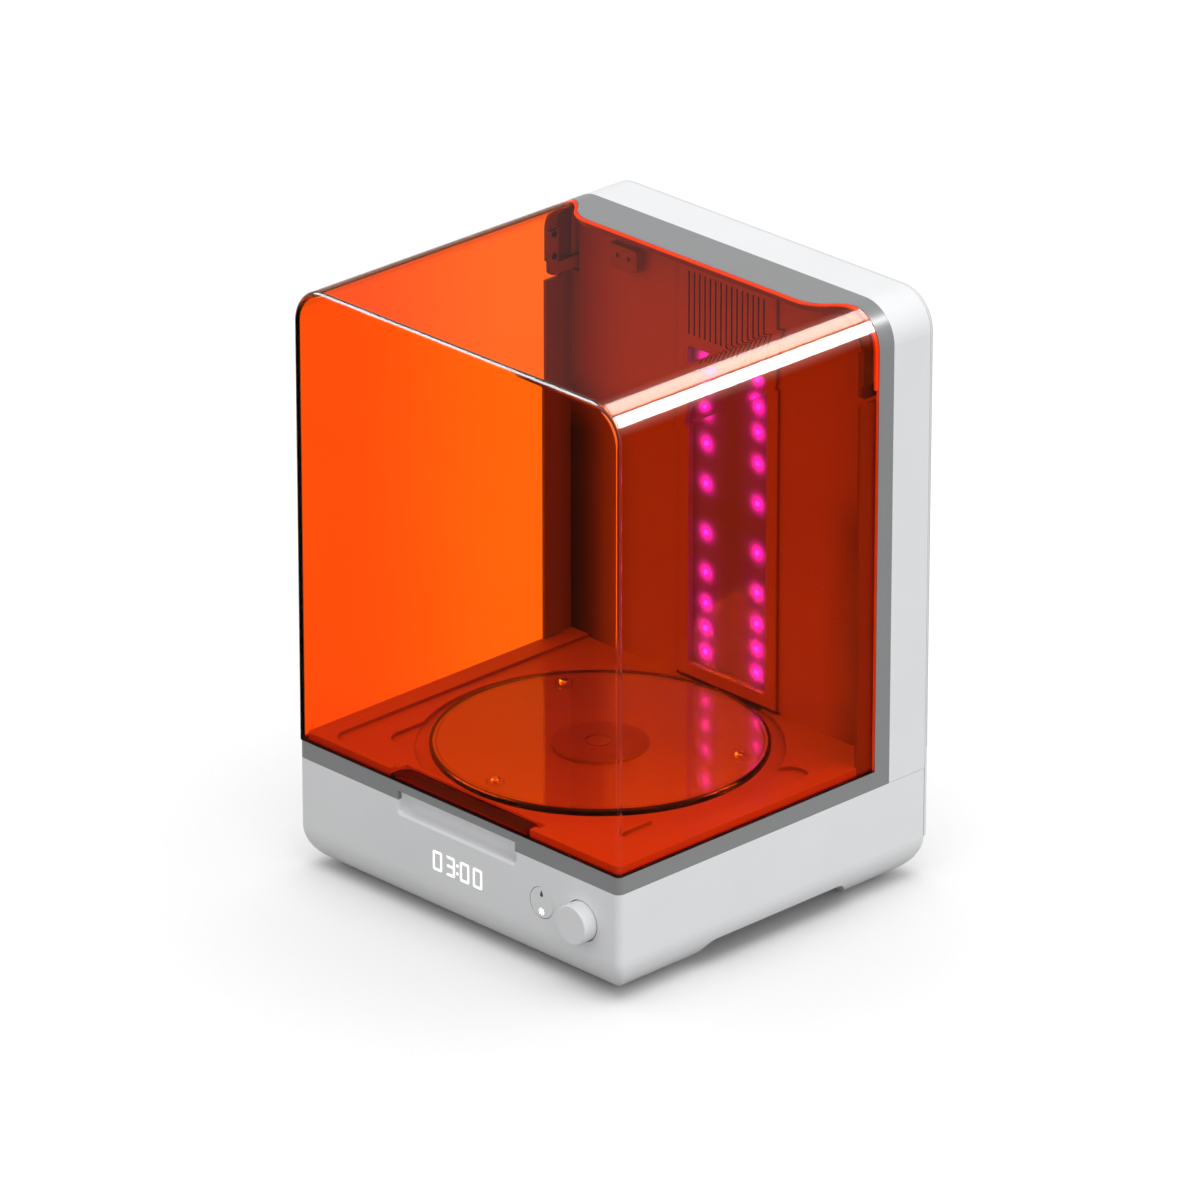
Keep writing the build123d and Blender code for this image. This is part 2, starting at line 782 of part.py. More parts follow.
# ---------------------------------------------------------------- fans and heater
def fan_frame(y0, z):
    """Square axial fan frame with its rear motor seat and four struts."""
    r = fan_size / 2
    frame = block(-r, r, y0, y0 + fan_depth, z - r, z + r)
    frame = fillet(frame.edges().filter_by(Axis.Y), fan_corner)
    frame = frame - rod_y(0, z, y0 - 1, y0 + fan_depth + 1, fan_bore)
    y1 = y0 + fan_depth
    ys = y1 - strut_thick
    w = strut_width / 2
    reach = fan_bore + 1
    seat = rod_y(0, z, ys, y1, fan_hub)
    struts = block(-reach, reach, ys, y1, z - w, z + w) + block(-w, w, ys, y1, z - reach, z + reach)
    frame = frame + seat + struts + rod_y(0, z, y0 + 1.5, y1 - 1, axle_radius)
    for x in (fan_corner - r, r - fan_corner):
        for dz in (fan_corner - r, r - fan_corner):
            frame = frame - rod_y(x, z + dz, y0 - 1, y1 + 1, fan_hole)
    return frame


def impeller(y0, z):
    """Fan rotor: a cup on the axle with pitched blades."""
    rotor_gap = 0.5
    span = fan_depth - strut_thick - 2 * rotor_gap
    ya = y0 + rotor_gap
    inner = fan_hub - 1.5
    outer = fan_bore - blade_gap
    rotor = rod_y(0, z, ya, ya + span, fan_hub)
    for i in range(fan_blades):
        blade = Rot(blade_pitch, 0, 0) * Box(outer - inner, span * 1.15, 1.1)
        blade = Pos((outer + inner) / 2, 0, 0) * blade
        rotor = rotor + Pos(0, ya + span / 2, z) * Rot(0, 360 / fan_blades * i, 0) * blade
    sweep = rod_y(0, z, ya, ya + span, outer)
    return (rotor & sweep) - rod_y(0, z, ya - 1, y0 + fan_depth, axle_radius + fit)


def heater_duct():
    y0 = y_wall + wall_thick
    y1 = y0 + heater_depth
    x = heater_half
    h = heater_half_height
    t = duct_wall
    duct = block(-x - t, x + t, y0, y1, z_warm - h - t, z_warm + h + t)
    return duct - block(-x, x, y0 - 1, y1 + 1, z_warm - h, z_warm + h)


def ptc_heater():
    y0 = y_wall + wall_thick + 1
    y1 = y0 + heater_depth - 2
    x = heater_half - trim_fit
    h = heater_half_height - trim_fit
    w = bar_height / 2
    core = block(-x, x, y0, y1, z_warm - w, z_warm + w)
    for z in (z_warm - h + w, z_warm + h - w):
        core = core + block(-x, x, y0, y1, z - w, z + w)
    w = heater_fin / 2
    for fin_x in spread(int((2 * x - heater_fin) / fin_pitch) + 1, fin_pitch):
        core = core + block(fin_x - w, fin_x + w, y0, y1, z_warm - h, z_warm + h)
    return core


# ---------------------------------------------------------------- turntable
def turntable():
    disc = rod_z(0, y_table, z_tray, z_tray + table_thick, table_radius)
    disc = fillet(disc.edges().group_by(Axis.Z)[-1], table_thick * 0.31)
    disc = disc - rod_z(0, y_table, z_tray - 1, z_tray + spigot_height + 0.3, spigot_radius + 0.3)
    for x, y in stud_places():
        disc = disc - rod_z(x, y, z_tray - 1, z_tray + 9, stud_radius * 0.5)
    return disc


def stud_places():
    return [
        (stud_circle * cos(radians(a)), y_table + stud_circle * sin(radians(a)))
        for a in stud_angles
    ]


def turntable_studs():
    studs = []
    z1 = z_tray + table_thick
    for x, y in stud_places():
        shank = rod_z(x, y, z_tray + 0.2, z1 + 0.1, stud_radius * 0.5 - fit)
        head = rod_z(x, y, z1, z1 + stud_height, stud_radius)
        studs.append(shank + fillet(head.edges().group_by(Axis.Z)[-1], stud_height * 0.8))
    return group(studs)


def drive_hub():
    z0 = z_seat + 1.5 - 1
    hub = rod_z(0, y_table, z_dish + hub_gap, z_tray, hub_radius)
    hub = hub + rod_z(0, y_table, z0, z_tray, hub_neck)
    spigot = rod_z(0, y_table, z_tray - 1, z_tray + spigot_height, spigot_radius)
    hub = hub + chamfer(spigot.edges().group_by(Axis.Z)[-1], 0.5)
    return hub - rod_z(0, y_table, z0 - 1, z_tray + 0.5, shaft_radius)


def hub_bearing():
    z0 = z_seat + 1.5
    ring = rod_z(0, y_table, z0, z0 + bearing_height, bearing_ring - fit)
    return ring - rod_z(0, y_table, z0 - 1, z0 + bearing_height + 1, hub_neck + fit)


def motor_shaft():
    return rod_z(0, y_table, z_motor - 12, z_tray, shaft_radius - fit)


def motor_bracket():
    z1 = z_dish - tray_thick
    plate = rod_z(0, y_table, z_motor, z_motor + bracket_thick, bracket_radius)
    plate = plate - rod_z(0, y_table, z_motor - 1, z_motor + 9, shaft_radius + 4)
    for a in (90, 210, 330):
        r = bracket_radius - 5
        x = r * cos(radians(a))
        y = y_table + r * sin(radians(a))
        plate = plate + rod_z(x, y, z_motor + 1, z1, 3.5)
    return plate


def turntable_motor():
    motor = rod_z(0, y_table, z_motor - motor_height, z_motor, motor_radius)
    motor = fillet(motor.edges().group_by(Axis.Z)[0], 2)
    motor = motor + rod_z(0, y_table, z_motor - 0.5, z_motor + 1.5, shaft_radius + 3)
    return motor - rod_z(0, y_table, z_motor - 13, z_motor + 9, shaft_radius + fit)


# ---------------------------------------------------------------- hood and its hinge
def hood_shell():
    z0 = z_ledge + hood_gap_low
    y0 = back(0)
    y1 = back(frame_front) - hood_gap_rear
    outer = block(-half, half, y0, y1, z0, z_top)
    outer = fillet(outer.edges().filter_by(Axis.Y).group_by(Axis.Z)[-1], top_radius)
    rim = outer.faces().sort_by(Axis.Y)[0].edges()
    outer = fillet([e for e in rim if e.center().Z > z0 + 1], hood_edge_radius)
    x = half - hood_wall
    inner = block(-x, x, y0 + hood_wall, y1 + 1, z0 - 1, z_top - hood_wall)
    inner = fillet(inner.edges().filter_by(Axis.Y).group_by(Axis.Z)[-1], top_radius - hood_wall)
    shell = outer - inner
    z_cut = z_top - 2 * top_radius
    y_end = y1 + 5
    edge = extrude(Pos(0, 0, z_cut) * behind_curve(hood_gap_rear, y_end, half + 1), amount=3 * top_radius)
    shell = shell - edge
    inner_edge = behind_curve(hood_gap_rear + hood_rebate, y_end, half + 1)
    step = extrude(Pos(0, 0, z_cut) * inner_edge, amount=3 * top_radius)
    shell = shell - (step & arch_prism(hood_land, back(0), y_end, z_cut))
    y0 = back(hood_wall)
    z1 = z0 + lip_thick
    lip = rounded_block(-lip_half, lip_half, y0 - 2 * lip_radius, y0 + lip_depth, z0, z1, lip_radius)
    return shell + (lip & block(-half, half, y0 - 0.2, y1, z0, z1))


def arm_half():
    """Swinging arm, inner strip and hoop of the right-hand side, as one bent bracket."""
    x0 = arm_outer - arm_thick
    yz = (y_pivot, z_pivot)
    low = (y_pivot - arm_leg, z_pivot - arm_run_drop)
    strip_y = back(strip_front) + arm_width / 2
    front = (strip_y, z_pivot - arm_run_drop)
    z_hoop = z_top - top_radius
    face = bar_face(yz, low, arm_width) + bar_face(low, front, arm_width)
    arm = Pos(x0, 0, 0) * extrude(face, amount=arm_thick)
    arm = arm + rod_x(y_pivot, z_pivot, x0, arm_outer, hinge_hub)
    y0 = strip_y - arm_width / 2
    y1 = strip_y + arm_width / 2
    arm = arm + block(x0, arm_outer, y0, y1, front[1], z_hoop)
    x_wall = half - hood_wall - bond
    arm = arm + block(x0, x_wall, y0, y1, z_hoop - strip_seat, z_hoop)
    radius = top_radius - hood_wall - bond
    x = half - top_radius
    ring = rod_y(x, z_hoop, y0, y1, radius) - rod_y(x, z_hoop, y0, y1, radius - hoop_thick)
    keep = Pos(x, (y0 + y1) / 2, z_hoop) * Rot(90, 0, 0) * sector(radius + 1, hoop_angle, y1 - y0)
    arm = arm + (ring & keep)
    return arm - rod_x(y_pivot, z_pivot, x0 - 1, arm_outer + 1, pin_radius + fit)


def sector(radius, angle, height):
    """Wedge of a cylinder from the +X axis turned by angle, about the Z axis."""
    reach = 2 * radius
    face = make_face(Polyline((0, 0), (reach, 0), (reach, reach * tan(radians(angle))), close=True))
    return extrude(face, amount=height / 2, both=True)


def hinge_bracket():
    """Right-hand bracket: a cheek beside the arm and a foot on the chamber wall."""
    x1 = arm_outer - arm_thick - disc_thick
    x0 = x1 - bracket_plate
    y0 = y_wall + wall_thick
    z0 = z_pivot - bracket_low
    z1 = z_pivot + bracket_rise
    cheek = block(x0, x1, y0, y_pivot, z0, z1) + rod_x(y_pivot, z_pivot, x0, x1, bracket_rise)
    foot = block(x0 - bracket_foot, x0 + 1, y0, y0 + bracket_plate, z0, z_pivot)
    return cheek + foot - rod_x(y_pivot, z_pivot, x0 - 1, x1 + 1, pin_radius)


def friction_disc():
    x1 = arm_outer - arm_thick
    ring = rod_x(y_pivot, z_pivot, x1 - disc_thick, x1, hinge_hub - 0.4)
    return ring - rod_x(y_pivot, z_pivot, x1 - disc_thick - 1, x1 + 1, pin_radius + fit)


def hinge_pin():
    x0 = arm_outer - arm_thick - disc_thick - bracket_plate
    pin = rod_x(y_pivot, z_pivot, x0, arm_outer, pin_radius)
    return pin + rod_x(y_pivot, z_pivot, x0 - 1.5, x0, pin_radius + 1.4)


def arm_screws():
    x0 = arm_outer - arm_thick
    y = back(strip_front) + arm_width / 2
    heads = []
    for z in (z_top - top_radius - 2.5, z_top - top_radius - 17.5):
        head = rod_x(y, z, x0 - 1, x0, 2.2)
        heads += mirrored(head - block(x0 - 1, x0 - 0.5, y - 1.6, y + 1.6, z - 0.25, z + 0.25))
    return group(heads)


def hinge_bracket_screws():
    x = arm_outer - arm_thick - disc_thick - bracket_plate - bracket_foot / 2
    y0 = y_wall + wall_thick + bracket_plate
    heads = []
    for z in (z_pivot - bracket_low / 4, z_pivot - bracket_low * 0.75):
        heads += mirrored(rod_y(x, z, y0, y0 + 1.6, 2.8))
    return group(heads)


def bumper_places():
    """Rubber pads in the trim band, as (x0, x1, y0, y1)."""
    w = bumper_width / 2
    length = bumper_length / 2
    y = back(hood_wall / 2)
    places = [(x - length, x + length, y - w, y + w) for x in (-foot_x, foot_x)]
    x = half - hood_wall / 2
    y = back(frame_front - 25)
    places += [(cx - w, cx + w, y - length, y + length) for cx in (-x, x)]
    return places


def hood_bumpers():
    z1 = z_ledge + hood_gap_low - trim_fit
    return group(block(*place, z_ledge - bumper_sink, z1) for place in bumper_places())


# ---------------------------------------------------------------- front controls
def board_corners():
    inset = boss_radius + 0.8
    xs = (board_left + inset, board_right - inset)
    zs = (z_control - board_down + inset, z_control + board_up - inset)
    return [(x, z) for x in xs for z in zs]


def display_board():
    y0 = back(board_front)
    z0 = z_control - board_down
    return block(board_left, board_right, y0, y0 + board_thick, z0, z_control + board_up)


def glyph_zero():
    w = digit_width
    h = digit_height
    s = digit_stroke
    frame = RectangleRounded(w, h, digit_corner) - Rectangle(w - 2 * s, h - 2 * s)
    nick = Rot(0, 0, 45) * Rectangle(s / 2, s / 2)
    return frame - Pos(s - w / 2, 0) * nick - Pos(w / 2 - s, 0) * nick


def glyph_three():
    w = digit_width / 2
    h = digit_height / 2
    s = digit_stroke
    frame = RectangleRounded(2 * w, 2 * h, digit_corner) - Rectangle(2 * w - 2 * s, 2 * h - 2 * s)
    left = s - w
    open_side = [(-w - 1, h), (-w, h), (left, h - s), (left, s - h), (-w, -h), (-w - 1, -h)]
    tip = s / 2 - w
    right = w - s / 2
    bar = [(tip, 0), (tip + s / 2, s / 2), (right, s / 2), (right, -s / 2), (tip + s / 2, -s / 2)]
    return frame - make_face(Polyline(*open_side, close=True)) + make_face(Polyline(*bar, close=True))


def digit_solids(y0, y1):
    """The time on the display: two digits, a colon and two digits."""
    inner = digit_inner
    outer = inner + digit_pitch
    dot = RectangleRounded(colon_dot, colon_dot, colon_dot / 4)
    glyphs = [
        (-outer, 0, glyph_zero()),
        (-inner, 0, glyph_three()),
        (0, -colon_offset, dot),
        (0, colon_offset, dot),
        (inner, 0, glyph_zero()),
        (outer, 0, glyph_zero()),
    ]
    plane = Plane(origin=(digit_x, y0, z_band - digit_drop), x_dir=(1, 0, 0), z_dir=(0, -1, 0))
    return [extrude(plane * Pos(x, z) * glyph, amount=y0 - y1) for x, z, glyph in glyphs]


def timer_digits():
    return group(digit_solids(back(-digit_proud), back(digit_depth)))


def display_module():
    y1 = back(board_front)
    zc = z_band - digit_drop
    x = digit_inner + digit_pitch + digit_width
    z = digit_height / 2 + 2
    return block(digit_x - x, digit_x + x, back(wall + trim_fit), y1, zc - z, zc + z)


def mode_button():
    cap = rod_y(button_x, z_control, back(0), back(wall + 3), button_radius)
    cap = fillet(cap.edges().group_by(Axis.Y)[0], 0.5)
    y0 = back(wall + seam)
    flange = rod_y(button_x, z_control, y0, y0 + button_flange, button_radius + button_flange)
    stem = rod_y(button_x, z_control, back(wall), back(board_front - switch_height - button_travel), 2.5)
    button = cap + flange + stem
    return button - drop_icon(back(-1), back(icon_depth)) - sun_icon(back(-1), back(icon_depth))


def drop_icon(y0, y1):
    z = z_control + icon_offset
    ball = rod_y(button_x, z - 0.6, y0, y1, 1.35)
    face = make_face(Polyline((-1.2, 0), (0, 2.9), (1.2, 0), close=True))
    tip = extrude(Plane.XZ * face, amount=-(y1 - y0))
    return ball + Pos(button_x, y0, z - 0.1) * tip


def sun_icon(y0, y1):
    z = z_control - icon_offset
    icon = rod_y(button_x, z, y0, y1, 1.6)
    for i in range(4):
        ray = Box(5.2, y1 - y0, 0.8)
        icon = icon + Pos(button_x, (y0 + y1) / 2, z) * Rot(0, 45 * i, 0) * ray
    return icon


def button_switch():
    y1 = back(board_front)
    body = block(button_x - 3, button_x + 3, y1 - switch_height + 0.4, y1, z_control - 3, z_control + 3)
    return body + rod_y(button_x, z_control, y1 - switch_height + 0.1, y1 - 1, 1.7)


def control_knob():
    knob = rod_y(knob_x, z_control, back(-knob_proud), back(knob_inside), knob_radius)
    knob = fillet(knob.edges().group_by(Axis.Y)[0], knob_edge)
    return knob - rod_y(knob_x, z_control, back(knob_top - knob_proud), back(knob_inside + 1), encoder_shaft)


def encoder_shaft_rod():
    y1 = back(board_front - knob_travel - 0.7)
    return rod_y(knob_x, z_control, back(knob_top - knob_proud) + 0.2, y1, encoder_shaft - fit)


def encoder_carriage():
    """Sliding carriage that the knob's shaft turns in when it is pressed."""
    y1 = back(board_front - knob_travel - 0.2)
    ring = block(knob_x - 4.5, knob_x + 4.5, y1 - 3, y1, z_control - 4.5, z_control + 4.5)
    return ring - rod_y(knob_x, z_control, y1 - 4, y1 + 1, encoder_shaft)


def rotary_encoder():
    y1 = back(board_front)
    y0 = y1 - 4.1
    x = 6.2
    body = block(knob_x - x, knob_x + x, y0, y1, z_control - x, z_control + x)
    return body - block(knob_x - 4.8, knob_x + 4.8, y0 - 1, y1 + 1, z_control - 4.8, z_control + 4.8)


# ---------------------------------------------------------------- power and electronics
def flanged(x, half_size, y_end):
    """Snap-in housing with a flange that lies flush in the rear cover."""
    w, h = half_size
    y1 = back(depth)
    y0 = y1 - inlet_flange
    e = flange_lip
    flange = block(x - w - e, x + w + e, y0, y1, inlet_z - h - e, inlet_z + h + e)
    flange = chamfer(flange.edges().group_by(Axis.Y)[-1], 0.4)
    w = w - trim_fit
    h = h - trim_fit
    return flange + block(x - w, x + w, y_end, y1 - 0.1, inlet_z - h, inlet_z + h)


def power_inlet():
    w = inlet_half[0] - 2
    h = inlet_half[1] - 2
    y1 = back(depth)
    socket = block(inlet_x - w, inlet_x + w, y1 - inlet_depth + 3, y1 + 9, inlet_z - h, inlet_z + h)
    corners = socket.edges().filter_by(Axis.Y).group_by(Axis.Z)[0]
    return flanged(inlet_x, inlet_half, y1 - inlet_depth) - chamfer(corners, 4)


def inlet_pins():
    y1 = back(depth)
    pins = []
    for dx, dz in ((-7, -1.5), (0, 2.0), (7, -1.5)):
        x = inlet_x + dx
        z = inlet_z + dz
        pins.append(block(x - 1, x + 1, y1 - inlet_depth + 3, y1 - 5, z - 2, z + 2))
    return group(pins)


def power_switch():
    w = switch_half[0] - rocker_gap
    h = switch_half[1] - rocker_gap
    y1 = back(depth)
    well = block(switch_x - w, switch_x + w, y1 - 13, y1 + 9, inlet_z - h, inlet_z + h)
    axle = rod_x(y1 - rocker_axle, inlet_z, switch_x - w - 0.3, switch_x + w + 0.3, 1.2)
    return flanged(switch_x, switch_half, y1 - 16) - well + axle


def power_rocker():
    """Rocker key, resting with its upper end pressed in."""
    w = switch_half[0] - rocker_gap - 0.35
    h = switch_half[1] - rocker_gap - 0.6
    y0 = -rocker_axle
    points = [(y0 - 4, -3), (y0 + 2.6, -h), (y0 + 1.8, 0), (y0 + 2.6, h), (y0 - 4, 3)]
    face = make_face(Polyline(*points, close=True))
    key = extrude(Plane.YZ * face, amount=w, both=True) - rod_x(y0, 0, -w - 1, w + 1, 1.2 + fit)
    key = Pos(0, -y0, 0) * key
    return Pos(switch_x, back(depth) + y0, inlet_z) * Rot(rocker_tilt, 0, 0) * key


def power_supply():
    z0 = z_floor
    z1 = z0 + psu_height
    x1 = psu_left + psu_width
    box = block(psu_left, x1, back(psu_front), back(psu_rear), z0, z1)
    box = fillet(box.edges().filter_by(Axis.Z), psu_slot_depth)
    middle = back((psu_front + psu_rear) / 2)
    w = psu_slot_width / 2
    for offset in spread(psu_slots, psu_slot_pitch):
        y = middle + offset
        slot = block(psu_left + psu_margin, x1 - psu_margin, y - w, y + w, z1 - psu_slot_depth, z1 + 1)
        box = box - slot
    return box


def main_board():
    z0 = z_floor + pcb_rise
    z1 = z0 + board_thick
    board = block(pcb_left, pcb_right, back(pcb_front), back(pcb_rear), z0, z1)
    length = pcb_rear - pcb_front
    relay = (0.11, 0.3, 0.15, 0.31, 2 * pcb_rise)
    chip = (0.46, 0.8, 0.11, 0.4, pcb_rise / 3)
    connector = (0.09, 0.22, 0.51, 0.89, 2 * pcb_rise)
    for x0, x1, y0, y1, height in (relay, chip, connector):
        near = back(pcb_front + y0 * length)
        far = back(pcb_front + y1 * length)
        board = board + block(pcb_left + x0 * pcb_width, pcb_left + x1 * pcb_width, near, far, z1, z1 + height)
    for share in (0.41, 0.57, 0.72, 0.87):
        x = pcb_left + share * pcb_width
        board = board + rod_z(x, back(pcb_front + 0.69 * length), z1, z1 + 2 * pcb_rise, pcb_rise * 0.66)
    return board


def board_standoffs():
    xs = (pcb_left + standoff_inset, pcb_right - standoff_inset)
    ys = (pcb_front + standoff_inset, pcb_rear - standoff_inset)
    z1 = z_floor + pcb_rise
    return group(rod_z(x, back(y), z_floor, z1, standoff_radius) for x in xs for y in ys)


def build():
    os.makedirs("parts", exist_ok=True)
    save("base_shell", base_shell())
    save("rubber_feet", rubber_feet())
    save("base_plate", base_plate())
    save("base_plate_screws", base_plate_screws())
    save("trim_frame", trim_frame())
    save("column_shell", column_shell())
    save("back_cover", back_cover())
    save("back_cover_screws", back_cover_screws())
    save("chamber_tray", chamber_tray())
    save("chamber_back_wall", chamber_back_wall())
    save("lid_sensor", lid_sensor())
    save("led_window", led_window())
    save("led_board", led_board())
    save("led_emitters", led_emitters())
    save("led_heatsink", led_heatsink())
    save("cooling_fan_frame", fan_frame(y_cooling, z_cooling))
    save("cooling_impeller", impeller(y_cooling, z_cooling))
    save("heater_duct", heater_duct())
    save("ptc_heater", ptc_heater())
    save("warm_air_fan_frame", fan_frame(y_warm, z_warm))
    save("warm_air_impeller", impeller(y_warm, z_warm))
    save("turntable", turntable())
    save("turntable_studs", turntable_studs())
    save("drive_hub", drive_hub())
    save("hub_bearing", hub_bearing())
    save("motor_shaft", motor_shaft())
    save("motor_bracket", motor_bracket())
    save("turntable_motor", turntable_motor())
    save("hood_shell", hood_shell())
    for side, arm in zip(("right", "left"), mirrored(arm_half())):
        save(f"hinge_arm_{side}", arm)
    for side, bracket in zip(("right", "left"), mirrored(hinge_bracket())):
        save(f"hinge_bracket_{side}", bracket)
    save("friction_discs", group(mirrored(friction_disc())))
    save("hinge_pins", group(mirrored(hinge_pin())))
    save("arm_screws", arm_screws())
    save("hinge_bracket_screws", hinge_bracket_screws())
    save("hood_bumpers", hood_bumpers())
    save("display_board", display_board())
    save("display_module", display_module())
    save("timer_digits", timer_digits())
    save("mode_button", mode_button())
    save("button_drop_icon", drop_icon(back(-digit_proud), back(icon_depth)))
    save("button_sun_icon", sun_icon(back(-digit_proud), back(icon_depth)))
    save("button_switch", button_switch())
    save("control_knob", control_knob())
    save("encoder_shaft", encoder_shaft_rod())
    save("encoder_carriage", encoder_carriage())
    save("rotary_encoder", rotary_encoder())
    save("power_inlet", power_inlet())
    save("inlet_pins", inlet_pins())
    save("power_switch", power_switch())
    save("power_rocker", power_rocker())
    save("power_supply", power_supply())
    save("main_board", main_board())
    save("board_standoffs", board_standoffs())


build()
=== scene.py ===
from math import cos, pi, radians, sin, sqrt

import bmesh
import bpy
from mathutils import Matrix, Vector


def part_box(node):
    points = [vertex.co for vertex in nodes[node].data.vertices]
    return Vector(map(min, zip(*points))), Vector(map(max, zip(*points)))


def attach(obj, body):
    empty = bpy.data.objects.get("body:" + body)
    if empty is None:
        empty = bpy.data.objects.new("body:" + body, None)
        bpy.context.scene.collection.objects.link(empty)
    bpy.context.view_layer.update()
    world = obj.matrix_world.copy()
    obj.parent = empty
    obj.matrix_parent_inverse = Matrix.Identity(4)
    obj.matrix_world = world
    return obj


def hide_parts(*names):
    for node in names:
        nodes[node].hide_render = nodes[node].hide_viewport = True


bl_info = {
    "name": "Light curing unit",
    "version": (1, 0, 0),
    "blender": (4, 5, 0),
    "location": "3D View > Sidebar > Curing unit",
    "description": "Dresses the packed light curing unit with its finishes and sets a plain studio",
    "category": "Object",
}

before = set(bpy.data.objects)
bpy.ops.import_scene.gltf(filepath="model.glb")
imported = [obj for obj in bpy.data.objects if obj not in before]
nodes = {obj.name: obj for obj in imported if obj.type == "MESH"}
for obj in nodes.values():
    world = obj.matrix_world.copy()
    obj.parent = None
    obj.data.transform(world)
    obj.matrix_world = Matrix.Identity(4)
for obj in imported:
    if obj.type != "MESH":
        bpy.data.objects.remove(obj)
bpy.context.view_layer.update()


# -------- user's sizes and colours
def colour_prop(name, description, default):
    return bpy.props.FloatVectorProperty(
        name=name, description=description, subtype="COLOR", size=3, min=0, max=1, default=default
    )


def number_prop(name, description, default, low=0.0, high=20.0, **kind):
    return bpy.props.FloatProperty(
        name=name, description=description, default=default, min=low, max=high, **kind
    )


def length_prop(*about):
    return number_prop(*about, subtype="DISTANCE", unit="LENGTH", precision=5)


def share_prop(*about, high=1.0):
    return number_prop(*about, high=high, subtype="FACTOR")


class ShellFinish(bpy.types.PropertyGroup):
    """Moulded plastic of the outer shells, the trim and the chamber."""
    shell: colour_prop("Shell", "Colour of the white moulded shells", (0.835, 0.84, 0.85))
    trim: colour_prop("Trim", "Colour of the grey trim frame", (0.232, 0.235, 0.239))
    chamber: colour_prop("Chamber", "Colour of the chamber's liner", (0.50, 0.45, 0.44))
    grain: length_prop("Grain", "Size of the moulded grain", 0.0006, 0.0001, 0.01)
    grain_depth: length_prop("Grain depth", "Height of the moulded grain", 0.00002, 0, 0.001)
    roughness: share_prop("Roughness", "Roughness of the white moulded shells", 0.42)


class HoodFinish(bpy.types.PropertyGroup):
    """Clear amber acrylic of the hood."""
    amber: colour_prop("Amber", "What one wall of the hood shows of a white ground", (1.0, 0.27, 0.03))
    glow: colour_prop("Glow", "Light that one wall lets in to what is seen through it", (1.0, 0.135, 0.018))
    shadow: share_prop("Shadow", "Share of light that one wall lets through to what stands outside it", 0.8)
    ior: number_prop("Refraction", "Refractive index of the acrylic", 1.4, 1.0, 2.0)
    sheen: number_prop("Sheen", "Refractive index that sets how much its flats mirror", 1.08, 1.0, 2.0)
    bent_sheen: number_prop("Rounding sheen", "The same on its polished roundings", 1.45, 1.0, 2.0)
    top_radius: length_prop("Top rounding", "Radius between the hood's sides and top", 0.0255, 0.005, 0.1)
    edge_radius: length_prop("Edge rounding", "Radius round the hood's front face", 0.003, 0.0005, 0.01)
    wall: length_prop("Wall", "Thickness of the hood's walls", 0.0035, 0.001, 0.01)
    edge_steps: bpy.props.IntProperty(
        name="Rounding steps", description="Flats in a quarter turn of the top rounding",
        default=28, min=6, max=64,
    )


class LampFinish(bpy.types.PropertyGroup):
    """Curing light, display and icons."""
    violet: colour_prop("Violet", "Colour of the curing light", (0.085, 0.003, 1.0))
    chip: number_prop("Chip strength", "Brightness of an LED chip", 36.0, high=200.0)
    digit: number_prop("Digit strength", "Brightness of the lit digits", 0.85)


class StudioSettings(bpy.types.PropertyGroup):
    """Plain studio round the unit."""
    dome: share_prop("Dome", "Brightness of the light from all round", 0.55, high=4.0)
    key: number_prop("Key", "Strength of the key lamp", 1.22)
    fill: number_prop("Fill", "Strength of the side lamp", 0.52)
    front: number_prop("Front", "Strength of the front lamp", 0.5)
    overhead: number_prop("Overhead", "Strength of the lamp over the floor", 1.5)
    floor: colour_prop("Floor", "Colour of the floor that lights the unit from below", (0.32, 0.32, 0.32))
    floor_seen: share_prop("Floor seen", "How pale the floor is where it is looked at", 1.0)


